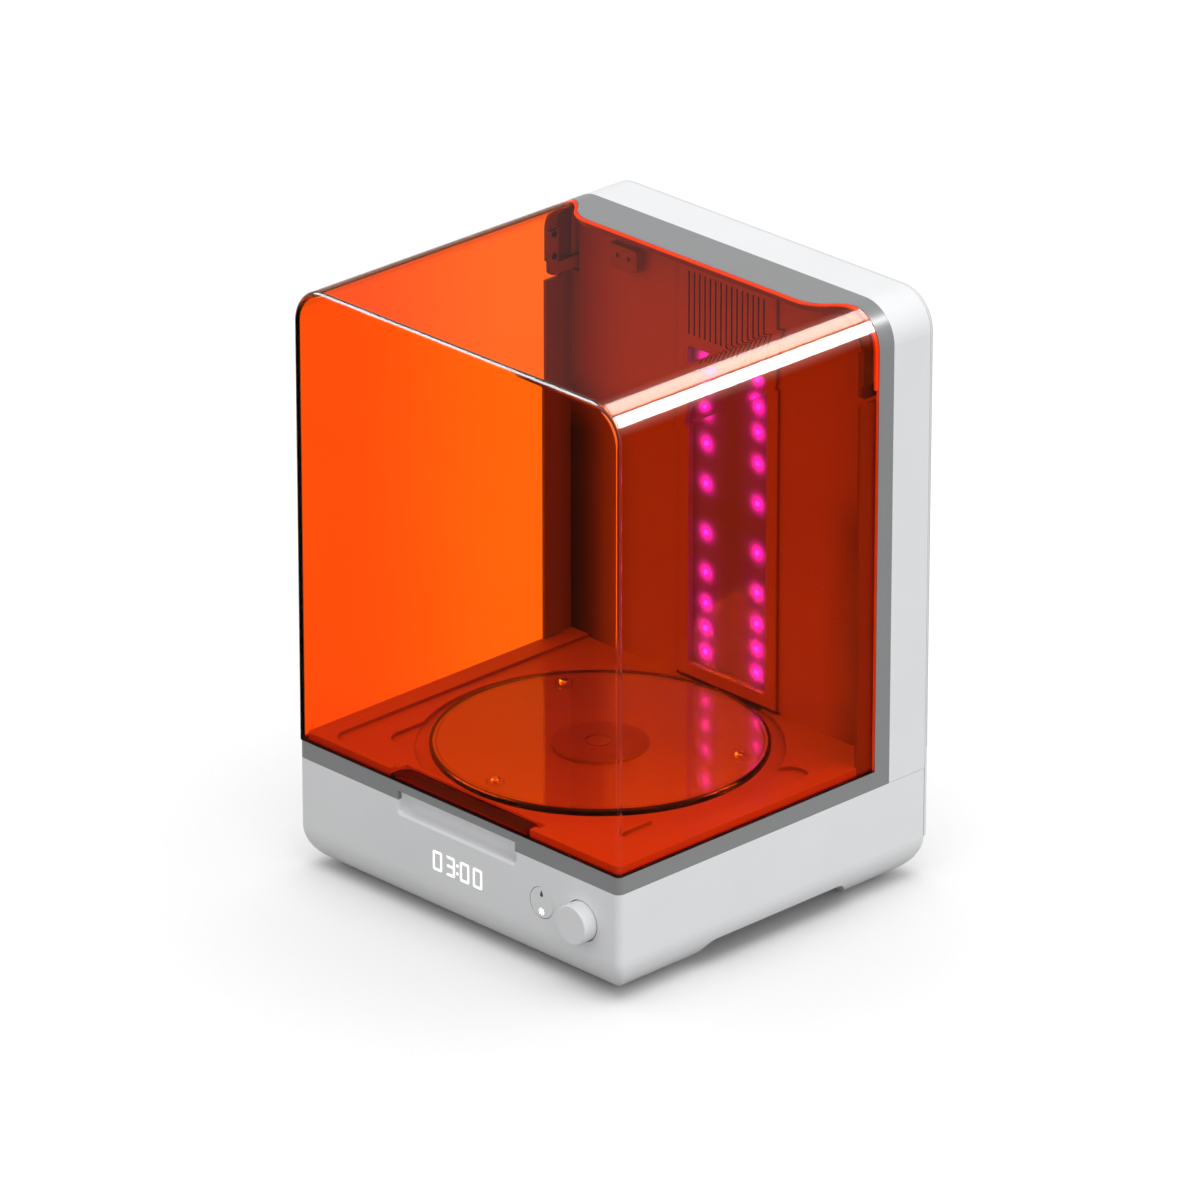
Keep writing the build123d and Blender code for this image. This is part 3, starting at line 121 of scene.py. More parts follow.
# -------- node helpers
class Graph:
    """Short calls for building one node tree."""

    def __init__(self, tree, owner=None):
        self.tree = tree
        self.owner = owner
        tree.nodes.clear()

    def add(self, kind, **settings):
        node = self.tree.nodes.new(kind)
        for key, value in settings.items():
            setattr(node, key, value)
        return node

    def join(self, source, target):
        self.tree.links.new(source, target)

    def feed(self, node, **values):
        """Sets or links inputs, by name with underscores for spaces, or by the letter i and the number."""
        for key, value in values.items():
            numbered = key[0] == "i" and key[1:].isdigit()
            socket = node.inputs[int(key[1:]) if numbered else key.replace("_", " ")]
            if isinstance(value, bpy.types.NodeSocket):
                self.join(value, socket)
            else:
                socket.default_value = value
        return node

    def out(self, kind, **inputs):
        """First output of a new node with these inputs."""
        return self.feed(self.add(kind), **inputs).outputs[0]

    def math(self, operation, a, b=0.0, c=0.0):
        return self.feed(self.add("ShaderNodeMath", operation=operation), i0=a, i1=b, i2=c).outputs[0]

    def product(self, first, *others):
        for other in others:
            first = self.math("MULTIPLY", first, other)
        return first

    def vector(self, operation, a, b=(0, 0, 0)):
        node = self.feed(self.add("ShaderNodeVectorMath", operation=operation), i0=a, i1=b)
        return node.outputs["Value" if operation in ("LENGTH", "DOT_PRODUCT") else "Vector"]

    def split(self, vector):
        """The vector's X, Y and Z."""
        return self.feed(self.add("ShaderNodeSeparateXYZ"), i0=vector).outputs

    def combine(self, x=0.0, y=0.0, z=0.0):
        return self.out("ShaderNodeCombineXYZ", X=x, Y=y, Z=z)

    def place(self):
        return self.add("ShaderNodeTexCoord").outputs["Object"]

    def noise(self, at, scale, detail=3.0, roughness=0.5):
        return self.out("ShaderNodeTexNoise", Vector=at, Scale=scale, Detail=detail, Roughness=roughness)

    def ramp(self, value, low, high, to_low=0.0, to_high=1.0, smooth=False):
        node = self.add("ShaderNodeMapRange", interpolation_type="SMOOTHSTEP" if smooth else "LINEAR")
        return self.feed(node, i0=value, i1=low, i2=high, i3=to_low, i4=to_high).outputs[0]

    def tint(self, share, first, second):
        """Mixes two colours."""
        ends = [c if isinstance(c, bpy.types.NodeSocket) else (*c[:3], 1) for c in (first, second)]
        node = self.add("ShaderNodeMix", data_type="RGBA")
        return self.feed(node, i0=share, i6=ends[0], i7=ends[1]).outputs[2]

    def between(self, share, first, second):
        """Mixes two numbers."""
        node = self.add("ShaderNodeMix", data_type="FLOAT")
        return self.feed(node, i0=share, i2=first, i3=second).outputs[0]

    def blend(self, share, first, second):
        """Mixes two shaders."""
        return self.out("ShaderNodeMixShader", i0=share, i1=first, i2=second)

    def bump(self, height, strength, distance):
        return self.out("ShaderNodeBump", Strength=strength, Distance=distance, Height=height)

    def principled(self, **values):
        return self.out("ShaderNodeBsdfPrincipled", **values)

    def close(self, surface):
        """Gives the material its surface and returns it."""
        self.join(surface, self.add("ShaderNodeOutputMaterial").inputs["Surface"])
        return self.owner


def shade(colour, factor):
    return tuple(min(1.0, c * factor) for c in colour[:3])


def material(name):
    """The empty graph of a new material, whose glow isn't sampled as a lamp."""
    made = bpy.data.materials.new(name)
    made.use_nodes = True
    made.cycles.emission_sampling = "NONE"
    return Graph(made.node_tree, made)


def moved(box, y):
    """The box, moved along Y."""
    return [(corner[0], corner[1] + y, corner[2]) for corner in box]


def within_box(g, low, high):
    """1 inside the box."""
    along = g.split(g.place())
    past = [g.math("GREATER_THAN", value, side) for value, side in zip(along, low)]
    short = [g.math("LESS_THAN", value, side) for value, side in zip(along, high)]
    return g.product(*past, *short)


def from_axis(g, at, centre):
    """Distance from the upright line through the centre."""
    return g.vector("LENGTH", g.vector("MULTIPLY", g.vector("SUBTRACT", at, centre), (1, 1, 0)))


def lamp_passes(g, opaque, passed):
    """The opaque surface, but the passed one for shadows and for light on what stands behind."""
    path = g.add("ShaderNodeLightPath").outputs
    return g.blend(g.math("MAXIMUM", path["Is Shadow Ray"], path["Is Diffuse Ray"]), opaque, passed)


def seen_directly(g):
    """1 for what the camera sees, straight on or in glass and metal."""
    path = g.add("ShaderNodeLightPath").outputs
    seen = g.math("MAXIMUM", path["Is Camera Ray"], path["Is Glossy Ray"])
    return g.math("MAXIMUM", seen, path["Is Transmission Ray"])


# -------- finishes
FINE_GRAIN = 0.0006
FINE_DEPTH = 0.00002
PAINT_GRAIN = 0.0008
FLOW_MARKS = 14.0
# Painted shade on the rear wall's sides: shares of the rim between which it deepens, heights between which it
# fades
SIDE_FROM, SIDE_TO, SIDE_SHARE, SIDE_PAINTED_SHADE = 0.55, 0.97, 0.97, 0.06
FADE_LOW, FADE_HIGH, FADE_SHARE = 0.23, 0.28, 0.2
# Painted shade on the rear cover's rounding, as a share of its colour
BORDER_PAINTED_SHADE = 0.7
# Painted shade in crevices: its colour and its share where the surface closes in most
CREVICE_SHADE_COLOUR = (0.02, 0.015, 0.015)
CREVICE_SHADE_SHARE = 0.75
STREAKS = 900.0
STREAK_DEPTH = 0.00001
# The clear disc's rim, darkened with painted shade, the line inside it and the rings round its studs
RIM_START, RIM_FULL = 0.0024, 0.0019
RIM_SHADE_COLOUR = (0.03, 0.02, 0.015)
LINE_INSET, LINE_HALF = 0.0044, 0.00035
DOT_RING, DOT_RING_HALF = 0.0056, 0.0003
LINE_COLOUR = (0.2, 0.15, 0.12)
BOARD_DARK, BOARD_PALE = (0.22, 0.2, 0.21), (0.26, 0.24, 0.25)
# Glow painted on the light board as emission: reach and share near each chip and farther out,
# and its strength against a chip's
CHIP_GLOW, CHIP_GLOW_SHARE = 0.0050, 0.92
BOARD_GLOW, BOARD_GLOW_SHARE = 0.016, 0.022
BOARD_STRENGTH = 0.7


def painted_crevice_shade(g, colour, reach):
    """The colour with painted shade where the surface closes in on itself within the given reach."""
    near = g.feed(g.add("ShaderNodeAmbientOcclusion", samples=6, only_local=True), Distance=reach)
    return g.tint(g.ramp(near.outputs["AO"], 0.25, 0.95, CREVICE_SHADE_SHARE, 0.0), colour, CREVICE_SHADE_COLOUR)


def plastic(
    name, colour, roughness, grain=FINE_GRAIN, depth=FINE_DEPTH, mottle=0.035,
    rim=None, border=None, lit=None, groove=None, shallow=None, dull=None,
):
    """Moulded plastic: fine grain, faint flow marks and an uneven sheen.

    Where they are given, it has painted shade towards +-rim in X, painted shade inside the border box,
    painted light along lit (a direction, where it starts and ends, the colour there) and painted shade in
    crevices within the reach of groove, but not inside the shallow box. It mirrors nothing inside the dull
    box.
    """
    g = material(name)
    at = g.place()
    fine = g.noise(at, 1 / grain, 2.0, 0.55)
    broad = g.noise(at, FLOW_MARKS)
    flow = g.tint(g.ramp(broad, 0.3, 0.7), shade(colour, 1 - mottle), shade(colour, 1 + mottle * 0.5))
    speck = g.tint(g.ramp(fine, 0.35, 0.65), shade(colour, 1 - mottle), shade(colour, 1 + mottle * 0.3))
    mixed = g.tint(0.4, flow, speck)
    # Painted shade at the sides in X, weaker higher up
    if rim:
        x, _, z = g.split(at)
        side = g.ramp(g.math("ABSOLUTE", x), rim * SIDE_FROM, rim * SIDE_TO, 0.0, SIDE_SHARE, smooth=True)
        side = g.product(side, g.ramp(z, FADE_LOW, FADE_HIGH, 1.0, FADE_SHARE, smooth=True))
        mixed = g.tint(side, mixed, shade(colour, SIDE_PAINTED_SHADE))
    # Painted shade inside the border box
    if border:
        mixed = g.tint(within_box(g, *border), mixed, shade(colour, BORDER_PAINTED_SHADE))
    # Painted light along the given direction
    if lit:
        along, start, end, paler = lit
        way = g.vector("DOT_PRODUCT", at, along)
        mixed = g.tint(g.ramp(way, start, end, smooth=True), mixed, paler)
    # Painted shade in crevices, from ambient occlusion
    if groove:
        deep = painted_crevice_shade(g, mixed, groove)
        mixed = g.tint(within_box(g, *shallow), deep, mixed) if shallow else deep
    sheen = g.ramp(within_box(g, *dull), 0.0, 1.0, 0.5, 0.0) if dull else 0.5
    return g.close(g.principled(
        Base_Color=mixed,
        Roughness=g.ramp(g.math("ADD", broad, fine), 0.6, 1.4, roughness * 0.9, roughness * 1.1),
        Normal=g.bump(fine, 0.6, depth),
        IOR=1.46,
        Specular_IOR_Level=sheen,
    ))


def metal(name, colour, roughness, run=(1, 1, 1)):
    """Worked metal with fine marks that run along the axis with the smallest number."""
    g = material(name)
    at = g.place()
    lines = g.noise(g.out("ShaderNodeMapping", Vector=at, Scale=run), STREAKS, 4.0, 0.6)
    cloud = g.noise(at, 60.0)
    return g.close(g.principled(
        Base_Color=g.tint(g.ramp(lines, 0.3, 0.7), shade(colour, 0.86), shade(colour, 1.06)),
        Roughness=g.ramp(g.math("ADD", lines, cloud), 0.6, 1.4, roughness * 0.75, roughness * 1.25),
        Normal=g.bump(lines, 0.4, STREAK_DEPTH),
        Metallic=1.0,
    ))


def clear(name, through, ior, rim=None, dots=()):
    """Clear plastic that lets lamps light what is behind it, with painted shade at its rim and dark rings
    round dots.
    """
    g = material(name)
    at = g.place()
    body = g.tint(g.ramp(g.noise(at, 22.0, 4.0, 0.6), 0.35, 0.75), through, shade(through, 0.985))
    sheen = 0.5
    if rim:
        centre, radius = rim
        out = from_axis(g, at, centre)
        # Painted shade: the rim darkens towards near black
        body = g.tint(g.ramp(out, radius - RIM_START, radius - RIM_FULL), body, RIM_SHADE_COLOUR)
        sheen = g.ramp(out, radius - RIM_START, radius - RIM_FULL, 0.5, 0.05)
        line = g.math("COMPARE", out, radius - LINE_INSET, LINE_HALF)
        for dot in dots:
            ring = g.math("COMPARE", from_axis(g, at, dot), DOT_RING, DOT_RING_HALF)
            line = g.math("MAXIMUM", line, ring)
        body = g.tint(g.product(line, 0.6), body, LINE_COLOUR)
    glass = g.principled(
        Base_Color=body, Roughness=0.0, IOR=ior, Transmission_Weight=1.0, Specular_IOR_Level=sheen
    )
    light = g.out("ShaderNodeBsdfTransparent", Color=(*[sqrt(c) for c in through], 1))
    return g.close(lamp_passes(g, glass, light))


def glowing(name, colour, strength, body_colour):
    """Lit plastic: a bright face whose glow varies a little over it."""
    g = material(name)
    patch = g.noise(g.place(), 700.0, 2.0)
    return g.close(g.principled(
        Base_Color=g.tint(patch, shade(body_colour, 0.94), body_colour),
        Emission_Color=g.tint(g.ramp(patch, 0.2, 0.8), shade(colour, 0.92), colour),
        Emission_Strength=strength,
        Roughness=0.3,
    ))


def coat(finish, *names):
    for name in names:
        target = nodes[name].data.materials
        for i in range(len(target)):
            target[i] = finish


# -------- mesh helpers
def add_object(name, data):
    made = bpy.data.objects.new(name, data)
    bpy.context.scene.collection.objects.link(made)
    return made


# Distances at which points are one, and the height of a step that only draws in
MERGE = 0.000002
CAD_MERGE = 0.000001
FLUSH = 0.000001


def piece(name, points, faces, finishes, body, replaced, smooth, marks=None):
    """Object from points and faces, smooth but for edges sharper than the given angle."""
    mesh = bpy.data.meshes.new(name)
    mesh.from_pydata([tuple(p) for p in points], [], faces)
    for finish in finishes:
        mesh.materials.append(finish)
    if marks:
        mesh.polygons.foreach_set("material_index", marks)
    set_piece(name, mesh, body, replaced, smooth)


def set_piece(name, mesh, body, replaced, smooth):
    """Object from a mesh whose faces are turned outwards, on its body."""
    work = bmesh.new()
    work.from_mesh(mesh)
    bmesh.ops.remove_doubles(work, verts=work.verts, dist=MERGE)
    bmesh.ops.recalc_face_normals(work, faces=work.faces)
    work.to_mesh(mesh)
    work.free()
    mesh.shade_smooth()
    mesh.set_sharp_from_angle(angle=radians(smooth))
    made = add_object(name, mesh)
    even = made.modifiers.new("even_normals", "WEIGHTED_NORMAL")
    even.keep_sharp = True
    even.weight = 100
    freeze(made)
    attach(made, body)
    if replaced:
        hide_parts(*replaced)


def freeze(made):
    """Turns what the modifiers make into the object's own mesh."""
    graph = bpy.context.evaluated_depsgraph_get()
    graph.update()
    result = bpy.data.meshes.new_from_object(made.evaluated_get(graph))
    made.modifiers.clear()
    made.data = result


def arc(x, y, radius, steps):
    """Points of a quarter turn round a centre, from beside it to above it."""
    angles = [pi / 2 * i / steps for i in range(steps + 1)]
    return [(x + radius * cos(a), y + radius * sin(a)) for a in angles]


def skin(rows, count, closed=True):
    """Faces between rows of points, where a closed row's last point joins its first."""
    faces = []
    for k in range(rows - 1):
        for i in range(count if closed else count - 1):
            j = (i + 1) % count
            faces.append((k * count + i, k * count + j, (k + 1) * count + j, (k + 1) * count + i))
    return faces


def lathe(rings, centre, steps):
    """Points and faces of a form turned about a vertical axis, from (radius, height) pairs."""
    angles = [2 * pi * i / steps for i in range(steps)]
    points = [(centre[0] + r * cos(a), centre[1] + r * sin(a), z) for r, z in rings for a in angles]
    return points, skin(len(rings), steps)


# -------- pieces that repeat
class Repeat:
    """A Geometry Nodes tree with named inputs that sets one form on many places."""

    def __init__(self, name, **inputs):
        self.tree = bpy.data.node_groups.new(name, "GeometryNodeTree")
        self.g = Graph(self.tree)
        self.socket("Places", "Geometry")
        self.keys = {}
        for key, value in inputs.items():
            kind = "Float" if isinstance(value, float) else "Material"
            self.keys[self.socket(key.replace("_", " ").capitalize(), kind).identifier] = value
        self.socket("Result", "Geometry", "OUTPUT")
        self.entry = self.g.add("NodeGroupInput").outputs

    def socket(self, name, kind, way="INPUT"):
        return self.tree.interface.new_socket(name=name, in_out=way, socket_type="NodeSocket" + kind)

    def box(self, x, y, z):
        return self.g.out("GeometryNodeMeshCube", Size=self.g.combine(x, y, z))

    def lifted(self, form, height, turn=0.0):
        """The form, raised and turned about Z."""
        rise = self.g.combine(z=height)
        return self.g.out("GeometryNodeTransform", Geometry=form, Translation=rise, Rotation=(0, 0, turn))

    def drum(self, sides, radius, depth, base=0.0):
        """A drum that stands on the given height, and which of its faces is the top."""
        drum = self.g.add("GeometryNodeMeshCylinder", fill_type="NGON")
        self.g.feed(drum, Vertices=sides, Radius=radius, Depth=depth)
        middle = self.g.math("ADD", base, self.g.product(depth, 0.5))
        return self.lifted(drum.outputs["Mesh"], middle), drum.outputs["Top"]

    def step(self, mesh, top, height, scale):
        """Draws the chosen faces out by a height and scales them."""
        out = self.g.add("GeometryNodeExtrudeMesh", mode="FACES")
        self.g.feed(out, Mesh=mesh, Selection=top, Offset_Scale=height, Individual=False)
        size = self.g.add("GeometryNodeScaleElements", domain="FACE")
        self.g.feed(size, Geometry=out.outputs["Mesh"], Selection=out.outputs["Top"], Scale=scale)
        return size.outputs[0], out.outputs["Top"]

    def dome(self, mesh, top, height, steps):
        """Draws the top out in steps, each a share of the height and a scale."""
        for share, scale in steps:
            mesh, top = self.step(mesh, top, self.g.product(height, share), scale)
        return mesh

    def cut(self, body, *tools):
        node = self.g.add("GeometryNodeMeshBoolean", operation="DIFFERENCE", solver="EXACT")
        self.g.join(body, node.inputs["Mesh 1"])
        for tool in tools:
            self.g.join(tool, node.inputs["Mesh 2"])
        return node.outputs["Mesh"]

    def close(self, form):
        """Sets the form on the places, each turned by its own angles, and gives it its finish."""
        g = self.g
        turn = g.feed(g.add("GeometryNodeInputNamedAttribute", data_type="FLOAT_VECTOR"), Name="turn")
        spread = g.out(
            "GeometryNodeInstanceOnPoints", Points=self.entry["Places"], Instance=form,
            Rotation=turn.outputs["Attribute"],
        )
        real = g.out("GeometryNodeRealizeInstances", Geometry=spread)
        done = g.out("GeometryNodeSetMaterial", Geometry=real, Material=self.entry["Finish"])
        g.join(done, g.add("NodeGroupOutput").inputs[0])

    def set(self, name, places, turns, body, replaced, slot, smooth):
        """Sets the tree's result on these places as a piece with a plain mesh."""
        points = bpy.data.meshes.new(name)
        points.from_pydata(places, [], [])
        angles = points.attributes.new("turn", "FLOAT_VECTOR", "POINT")
        angles.data.foreach_set("vector", [a for turn in turns for a in turn])
        made = add_object(name, points)
        nodes_on = made.modifiers.new("repeat", "NODES")
        nodes_on.node_group = self.tree
        for key, value in self.keys.items():
            nodes_on[key] = value
        freeze(made)
        mesh = made.data
        bpy.data.objects.remove(made)
        set_piece(name, mesh, body, [replaced], smooth)


def loose_boxes(name):
    """Lowest and highest corner of each separate solid in a CAD node."""
    work = bmesh.new()
    work.from_mesh(nodes[name].data)
    bmesh.ops.remove_doubles(work, verts=work.verts, dist=CAD_MERGE)
    left, boxes = set(work.verts), []
    while left:
        group, waiting = [], [left.pop()]
        while waiting:
            vert = waiting.pop()
            group.append(vert.co.copy())
            for link in vert.link_edges:
                other = link.other_vert(vert)
                if other in left:
                    left.remove(other)
                    waiting.append(other)
        low, high = (Vector([pick(c[i] for c in group) for i in range(3)]) for pick in (min, max))
        boxes.append((low, high))
    work.free()
    return sorted(boxes, key=lambda box: tuple(round(v, 5) for v in box[0]))


# Turn that points a form's top along each direction
FACING = {
    "-z": (pi, 0, 0), "y": (-pi / 2, 0, 0), "-y": (pi / 2, 0, 0), "x": (0, pi / 2, 0), "-x": (0, -pi / 2, 0)
}


def seats(name, facing):
    """Where each solid of a node is seated and how it is turned, with their height and half width.

    The facing "in" looks towards the middle from both sides.
    """
    places, turns, height, half = [], [], 0.0, 0.0
    for low, high in loose_boxes(name):
        way = ("-x" if low.x > 0 else "x") if facing == "in" else facing
        axis = "xyz".index(way[-1])
        place = (low + high) / 2
        place[axis] = high[axis] if way[0] == "-" else low[axis]
        size = high - low
        height = size[axis]
        half = size[(axis + 1) % 3] / 2
        places.append(tuple(place))
        turns.append(FACING[way])
    return places, turns, height, half


# Steps of a dome, each a share of the height and the scale of what it draws out
HEAD_DOME = ((0.22, 0.93), (0.18, 0.84), (0.1, 0.72))
LENS_DOME = ((0.3, 0.94), (0.25, 0.85), (0.15, 0.72), (0.1, 0.5))


def screw_heads(name, facing, finish, body, slot):
    """Domed screw heads with a cross recess in place of a node's plain ones."""
    places, turns, height, radius = seats(name, facing)
    made = Repeat(
        name + "_tree", head_radius=radius, head_height=height, recess_length=radius * 1.15,
        recess_width=radius * 0.3, recess_depth=height * 0.55, finish=finish,
    )
    entry, g = made.entry, made.g
    tall = entry["Head height"]
    head, top = made.drum(40, entry["Head radius"], g.product(tall, 0.5))
    head = made.dome(head, top, tall, HEAD_DOME)
    bar = made.box(entry["Recess length"], entry["Recess width"], g.product(entry["Recess depth"], 2.0))
    made.close(made.cut(head, *[made.lifted(bar, tall, angle) for angle in (pi / 4, -pi / 4)]))
    made.set(name + "_cross", places, turns, body, name, slot, smooth=30)


def round_feet(finish):
    """Rubber feet with two grooves round their underside."""
    places, turns, height, radius = seats("rubber_feet", "-z")
    made = Repeat("feet_tree", foot_radius=radius, foot_height=height, groove=0.0004, finish=finish)
    entry, g = made.entry, made.g
    tall = entry["Foot height"]
    foot, top = made.drum(72, entry["Foot radius"], g.product(tall, 0.8))
    foot, top = made.step(foot, top, g.product(tall, 0.2), 0.95)
    up = entry["Groove"]
    down = g.product(up, -1.0)
    for scale, height_step in ((0.8, down), (0.94, up), (0.72, down), (0.9, up)):
        foot, top = made.step(foot, top, FLUSH, scale)
        foot, top = made.step(foot, top, height_step, 0.98)
    made.close(foot)
    made.set("grooved_feet", places, turns, "base", "rubber_feet", "soft_rubber", smooth=30)


def led_chips(finish):
    """LED packages with a domed lens in place of the plain emitters."""
    places, turns, height, half = seats("led_emitters", "-y")
    made = Repeat(
        "chip_tree", package=half * 1.3, package_height=height * 0.38, lens_radius=half * 0.88,
        lens_height=height * 0.62, finish=finish,
    )
    entry, g = made.entry, made.g
    side, thick, tall = entry["Package"], entry["Package height"], entry["Lens height"]
    block = made.lifted(made.box(side, side, thick), g.product(thick, 0.5))
    lens, top = made.drum(32, entry["Lens radius"], g.product(tall, 0.2), thick)
    lens = made.dome(lens, top, tall, LENS_DOME)
    both = g.add("GeometryNodeJoinGeometry")
    g.join(block, both.inputs[0])
    g.join(lens, both.inputs[0])
    made.close(both.outputs[0])
    made.set("led_chips", places, turns, "base", "led_emitters", "emitter", smooth=35)


# -------- operators
class Build:
    bl_options = {"REGISTER", "UNDO"}


class UNIT_OT_shells(Build, bpy.types.Operator):
    """Gives the base, the column, the covers and the trim their moulded finishes"""
    bl_idname = "unit.shells"
    bl_label = "Shells and trim"

    # Boxes round the finger recess, from the base's front, and round the painted shade on the rear cover's
    # rounding, from its rear
    RECESS = ((-0.07, 0.0012, 0.055), (0.07, 0.03, 0.095))
    ROUNDING = ((-1, -0.0022, 0.09), (1, -0.00015, 1))

    def execute(self, context):
        s = context.scene.unit_shells
        recess = moved(self.RECESS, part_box("base_shell")[0].y)
        rounding = moved(self.ROUNDING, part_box("back_cover")[1].y)
        white = plastic(
            "white_shell_finish", s.shell, s.roughness, s.grain, s.grain_depth, border=rounding, dull=recess
        )
        coat(white, "base_shell", "column_shell", "back_cover", "base_plate")
        coat(white, "mode_button", "control_knob")
        coat(plastic("grey_trim_finish", s.trim, 0.38, s.grain, s.grain_depth), "trim_frame")
        return {"FINISHED"}


class UNIT_OT_chamber(Build, bpy.types.Operator):
    """Gives the curing chamber's tray, rear wall and lid sensor their finishes"""
    bl_idname = "unit.chamber"
    bl_label = "Curing chamber"

    # Painted light on the tray's front corner: direction, where it starts and is full along it, colour
    PAINTED_LIGHT_CORNER = ((0.75, -0.66, 0.0), -0.02, 0.17, (0.62, 0.66, 0.56))
    # Box round the shallow well behind the lift lip, where the tray gets no painted crevice shade
    WELL = ((-0.065, -0.14, 0.07), (0.065, -0.112, 0.0935))
    MOTTLE = 0.05
    # Reach in X of the rear wall's painted shade at its sides
    WALL_SHADE_RIM = 0.142
    # Reach of the painted crevice shade on the tray and on the rear wall
    TRAY_GROOVE, WALL_GROOVE = 0.01, 0.008

    def execute(self, context):
        s = context.scene.unit_shells
        fine = s.grain_depth * 0.4
        coat(plastic(
            "chamber_finish", shade(s.chamber, 0.96), 0.36, s.grain, fine, self.MOTTLE,
            lit=self.PAINTED_LIGHT_CORNER, groove=self.TRAY_GROOVE, shallow=self.WELL,
        ), "chamber_tray")
        coat(plastic(
            "rear_wall_finish", s.chamber, 0.36, s.grain, fine, self.MOTTLE,
            rim=self.WALL_SHADE_RIM, groove=self.WALL_GROOVE,
        ), "chamber_back_wall")
        coat(plastic("sensor_finish", shade(s.chamber, 0.72), 0.4, s.grain, s.grain_depth), "lid_sensor")
        return {"FINISHED"}


class HoodForm:
    """The hood's walls, as rings of points along its arched outline, and its lift lip."""
    FRONT_STEPS = 8
    INNER_RADIUS = 0.0011
    LAND = 0.0008
    REAR_STEP = 0.0024
    STEP_GAP = 0.00005
    # The top's rear edge, cut back round the trim's tongue: depth, half width of its flat and of the whole
    NOTCH_DEPTH = 0.0198
    NOTCH_FLAT, NOTCH_END = 0.093, 0.132
    # Places in X of the points along the top: close ones on the notch's curve, then those on its flat
    CURVE_FROM, CURVE_STEP, CURVE_POINTS = 0.1175, 0.0022, 12
    FLAT_PLACES = [0.08, 0.05, 0.02]
    LIP_HALF, LIP_DEPTH, LIP_THICK = 0.062, 0.014, 0.0026
    LIP_RADIUS, LIP_STEPS = 0.008, 8
    LIP_BEVEL = 0.0004
    LIP_GAP = 0.00005

    def __init__(self, s):
        low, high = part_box("hood_shell")
        self.half, self.z0, self.z1 = high.x, low.z, high.z
        self.front, self.rear = low.y, high.y
        self.s = s
        self.step_top = self.z1 - 2 * s.top_radius

    def notch(self, x):
        """How far in front of the side walls' rear edge the top's rear edge lies."""
        x = abs(x)
        if x >= self.NOTCH_END:
            return 0.0
        if x <= self.NOTCH_FLAT:
            return self.NOTCH_DEPTH
        run = (self.NOTCH_END - self.NOTCH_FLAT) / 2
        rise = self.NOTCH_DEPTH / 2
        radius = (run * run + rise * rise) / (2 * rise)
        if x < self.NOTCH_FLAT + run:
            return self.NOTCH_DEPTH - radius + sqrt(radius * radius - (x - self.NOTCH_FLAT) ** 2)
        return radius - sqrt(radius * radius - (self.NOTCH_END - x) ** 2)

    def outline(self, inset):
        """(x, z) along the arch, the given distance inside its outer face."""
        s = self.s
        radius = s.top_radius - inset
        middle = self.half - s.top_radius
        side = [self.z0, self.step_top - self.STEP_GAP, self.step_top + self.STEP_GAP]
        right = [(self.half - inset, z) for z in side]
        right += arc(middle, self.z1 - s.top_radius, radius, s.edge_steps)
        curve = [self.CURVE_FROM - self.CURVE_STEP * i for i in range(self.CURVE_POINTS)]
        right += [(x, self.z1 - inset) for x in curve + self.FLAT_PLACES]
        return right + [(-x, z) for x, z in reversed(right)]

    def ring(self, y, inset):
        return [(x, y, z) for x, z in self.outline(inset)]

    def rear_ring(self, inset, cut):
        """Ring along the rear edge, cut back only above the side walls' step."""
        return [
            (x, self.rear - self.notch(x) - (cut if z > self.step_top else 0.0), z)
            for x, z in self.outline(inset)
        ]

    def walls(self):
        """Points and faces of the walls, and for each face 1 on the rear cut edge, else 0."""
        radius, wall, inner = self.s.edge_radius, self.s.wall, self.INNER_RADIUS
        rings = [
            self.ring(self.front + radius - forward, radius - out)
            for forward, out in arc(0.0, 0.0, radius, self.FRONT_STEPS)
        ]
        edge_from = len(rings)
        rings += [
            self.rear_ring(0, 0),
            self.rear_ring(self.LAND, 0),
            self.rear_ring(self.LAND, self.REAR_STEP),
            self.rear_ring(wall, self.REAR_STEP),
        ]
        edge_to = len(rings) - 1
        rings += [
            self.ring(self.front + wall + inner - forward, wall + inner - out)
            for forward, out in reversed(arc(0.0, 0.0, inner, self.FRONT_STEPS // 2))
        ]
        rows, count = len(rings), len(rings[0])
        points = [p for ring in rings for p in ring]
        marks = [int(edge_from <= k < edge_to) for k in range(rows - 1) for _ in range(count - 1)]
        front_face = tuple(range(count))
        inner_face = tuple(range(rows * count - 1, (rows - 1) * count - 1, -1))
        right = [k * count for k in range(rows)]
        left = [k * count + count - 1 for k in range(rows)]
        faces = skin(rows, count, closed=False) + [front_face, inner_face, tuple(right + left[::-1])]
        return points, faces, marks + [0, 0, 0]

    def lip(self):
        """Lift lip that stands inward from the front wall's lower edge."""
        y0 = self.front + self.s.wall + self.LIP_GAP
        y1 = self.front + self.s.wall + self.LIP_DEPTH
        radius, bevel = self.LIP_RADIUS, self.LIP_BEVEL
        outline = [(self.LIP_HALF, y0)]
        outline += arc(self.LIP_HALF - radius, y1 - radius, radius, self.LIP_STEPS)
        outline += [(-x, y) for x, y in reversed(outline)]
        low, high = self.z0, self.z0 + self.LIP_THICK
        levels = [(bevel, low), (0, low + bevel), (0, high - bevel), (bevel, high)]
        count = len(outline)
        points = []
        for inset, z in levels:
            across, along = 1 - inset / self.LIP_HALF, 1 - inset / self.LIP_DEPTH
            points += [(x * across, y0 + (y - y0) * along, z) for x, y in outline]
        below, above = tuple(range(count - 1, -1, -1)), tuple(range(3 * count, 4 * count))
        return points, skin(len(levels), count) + [below, above]


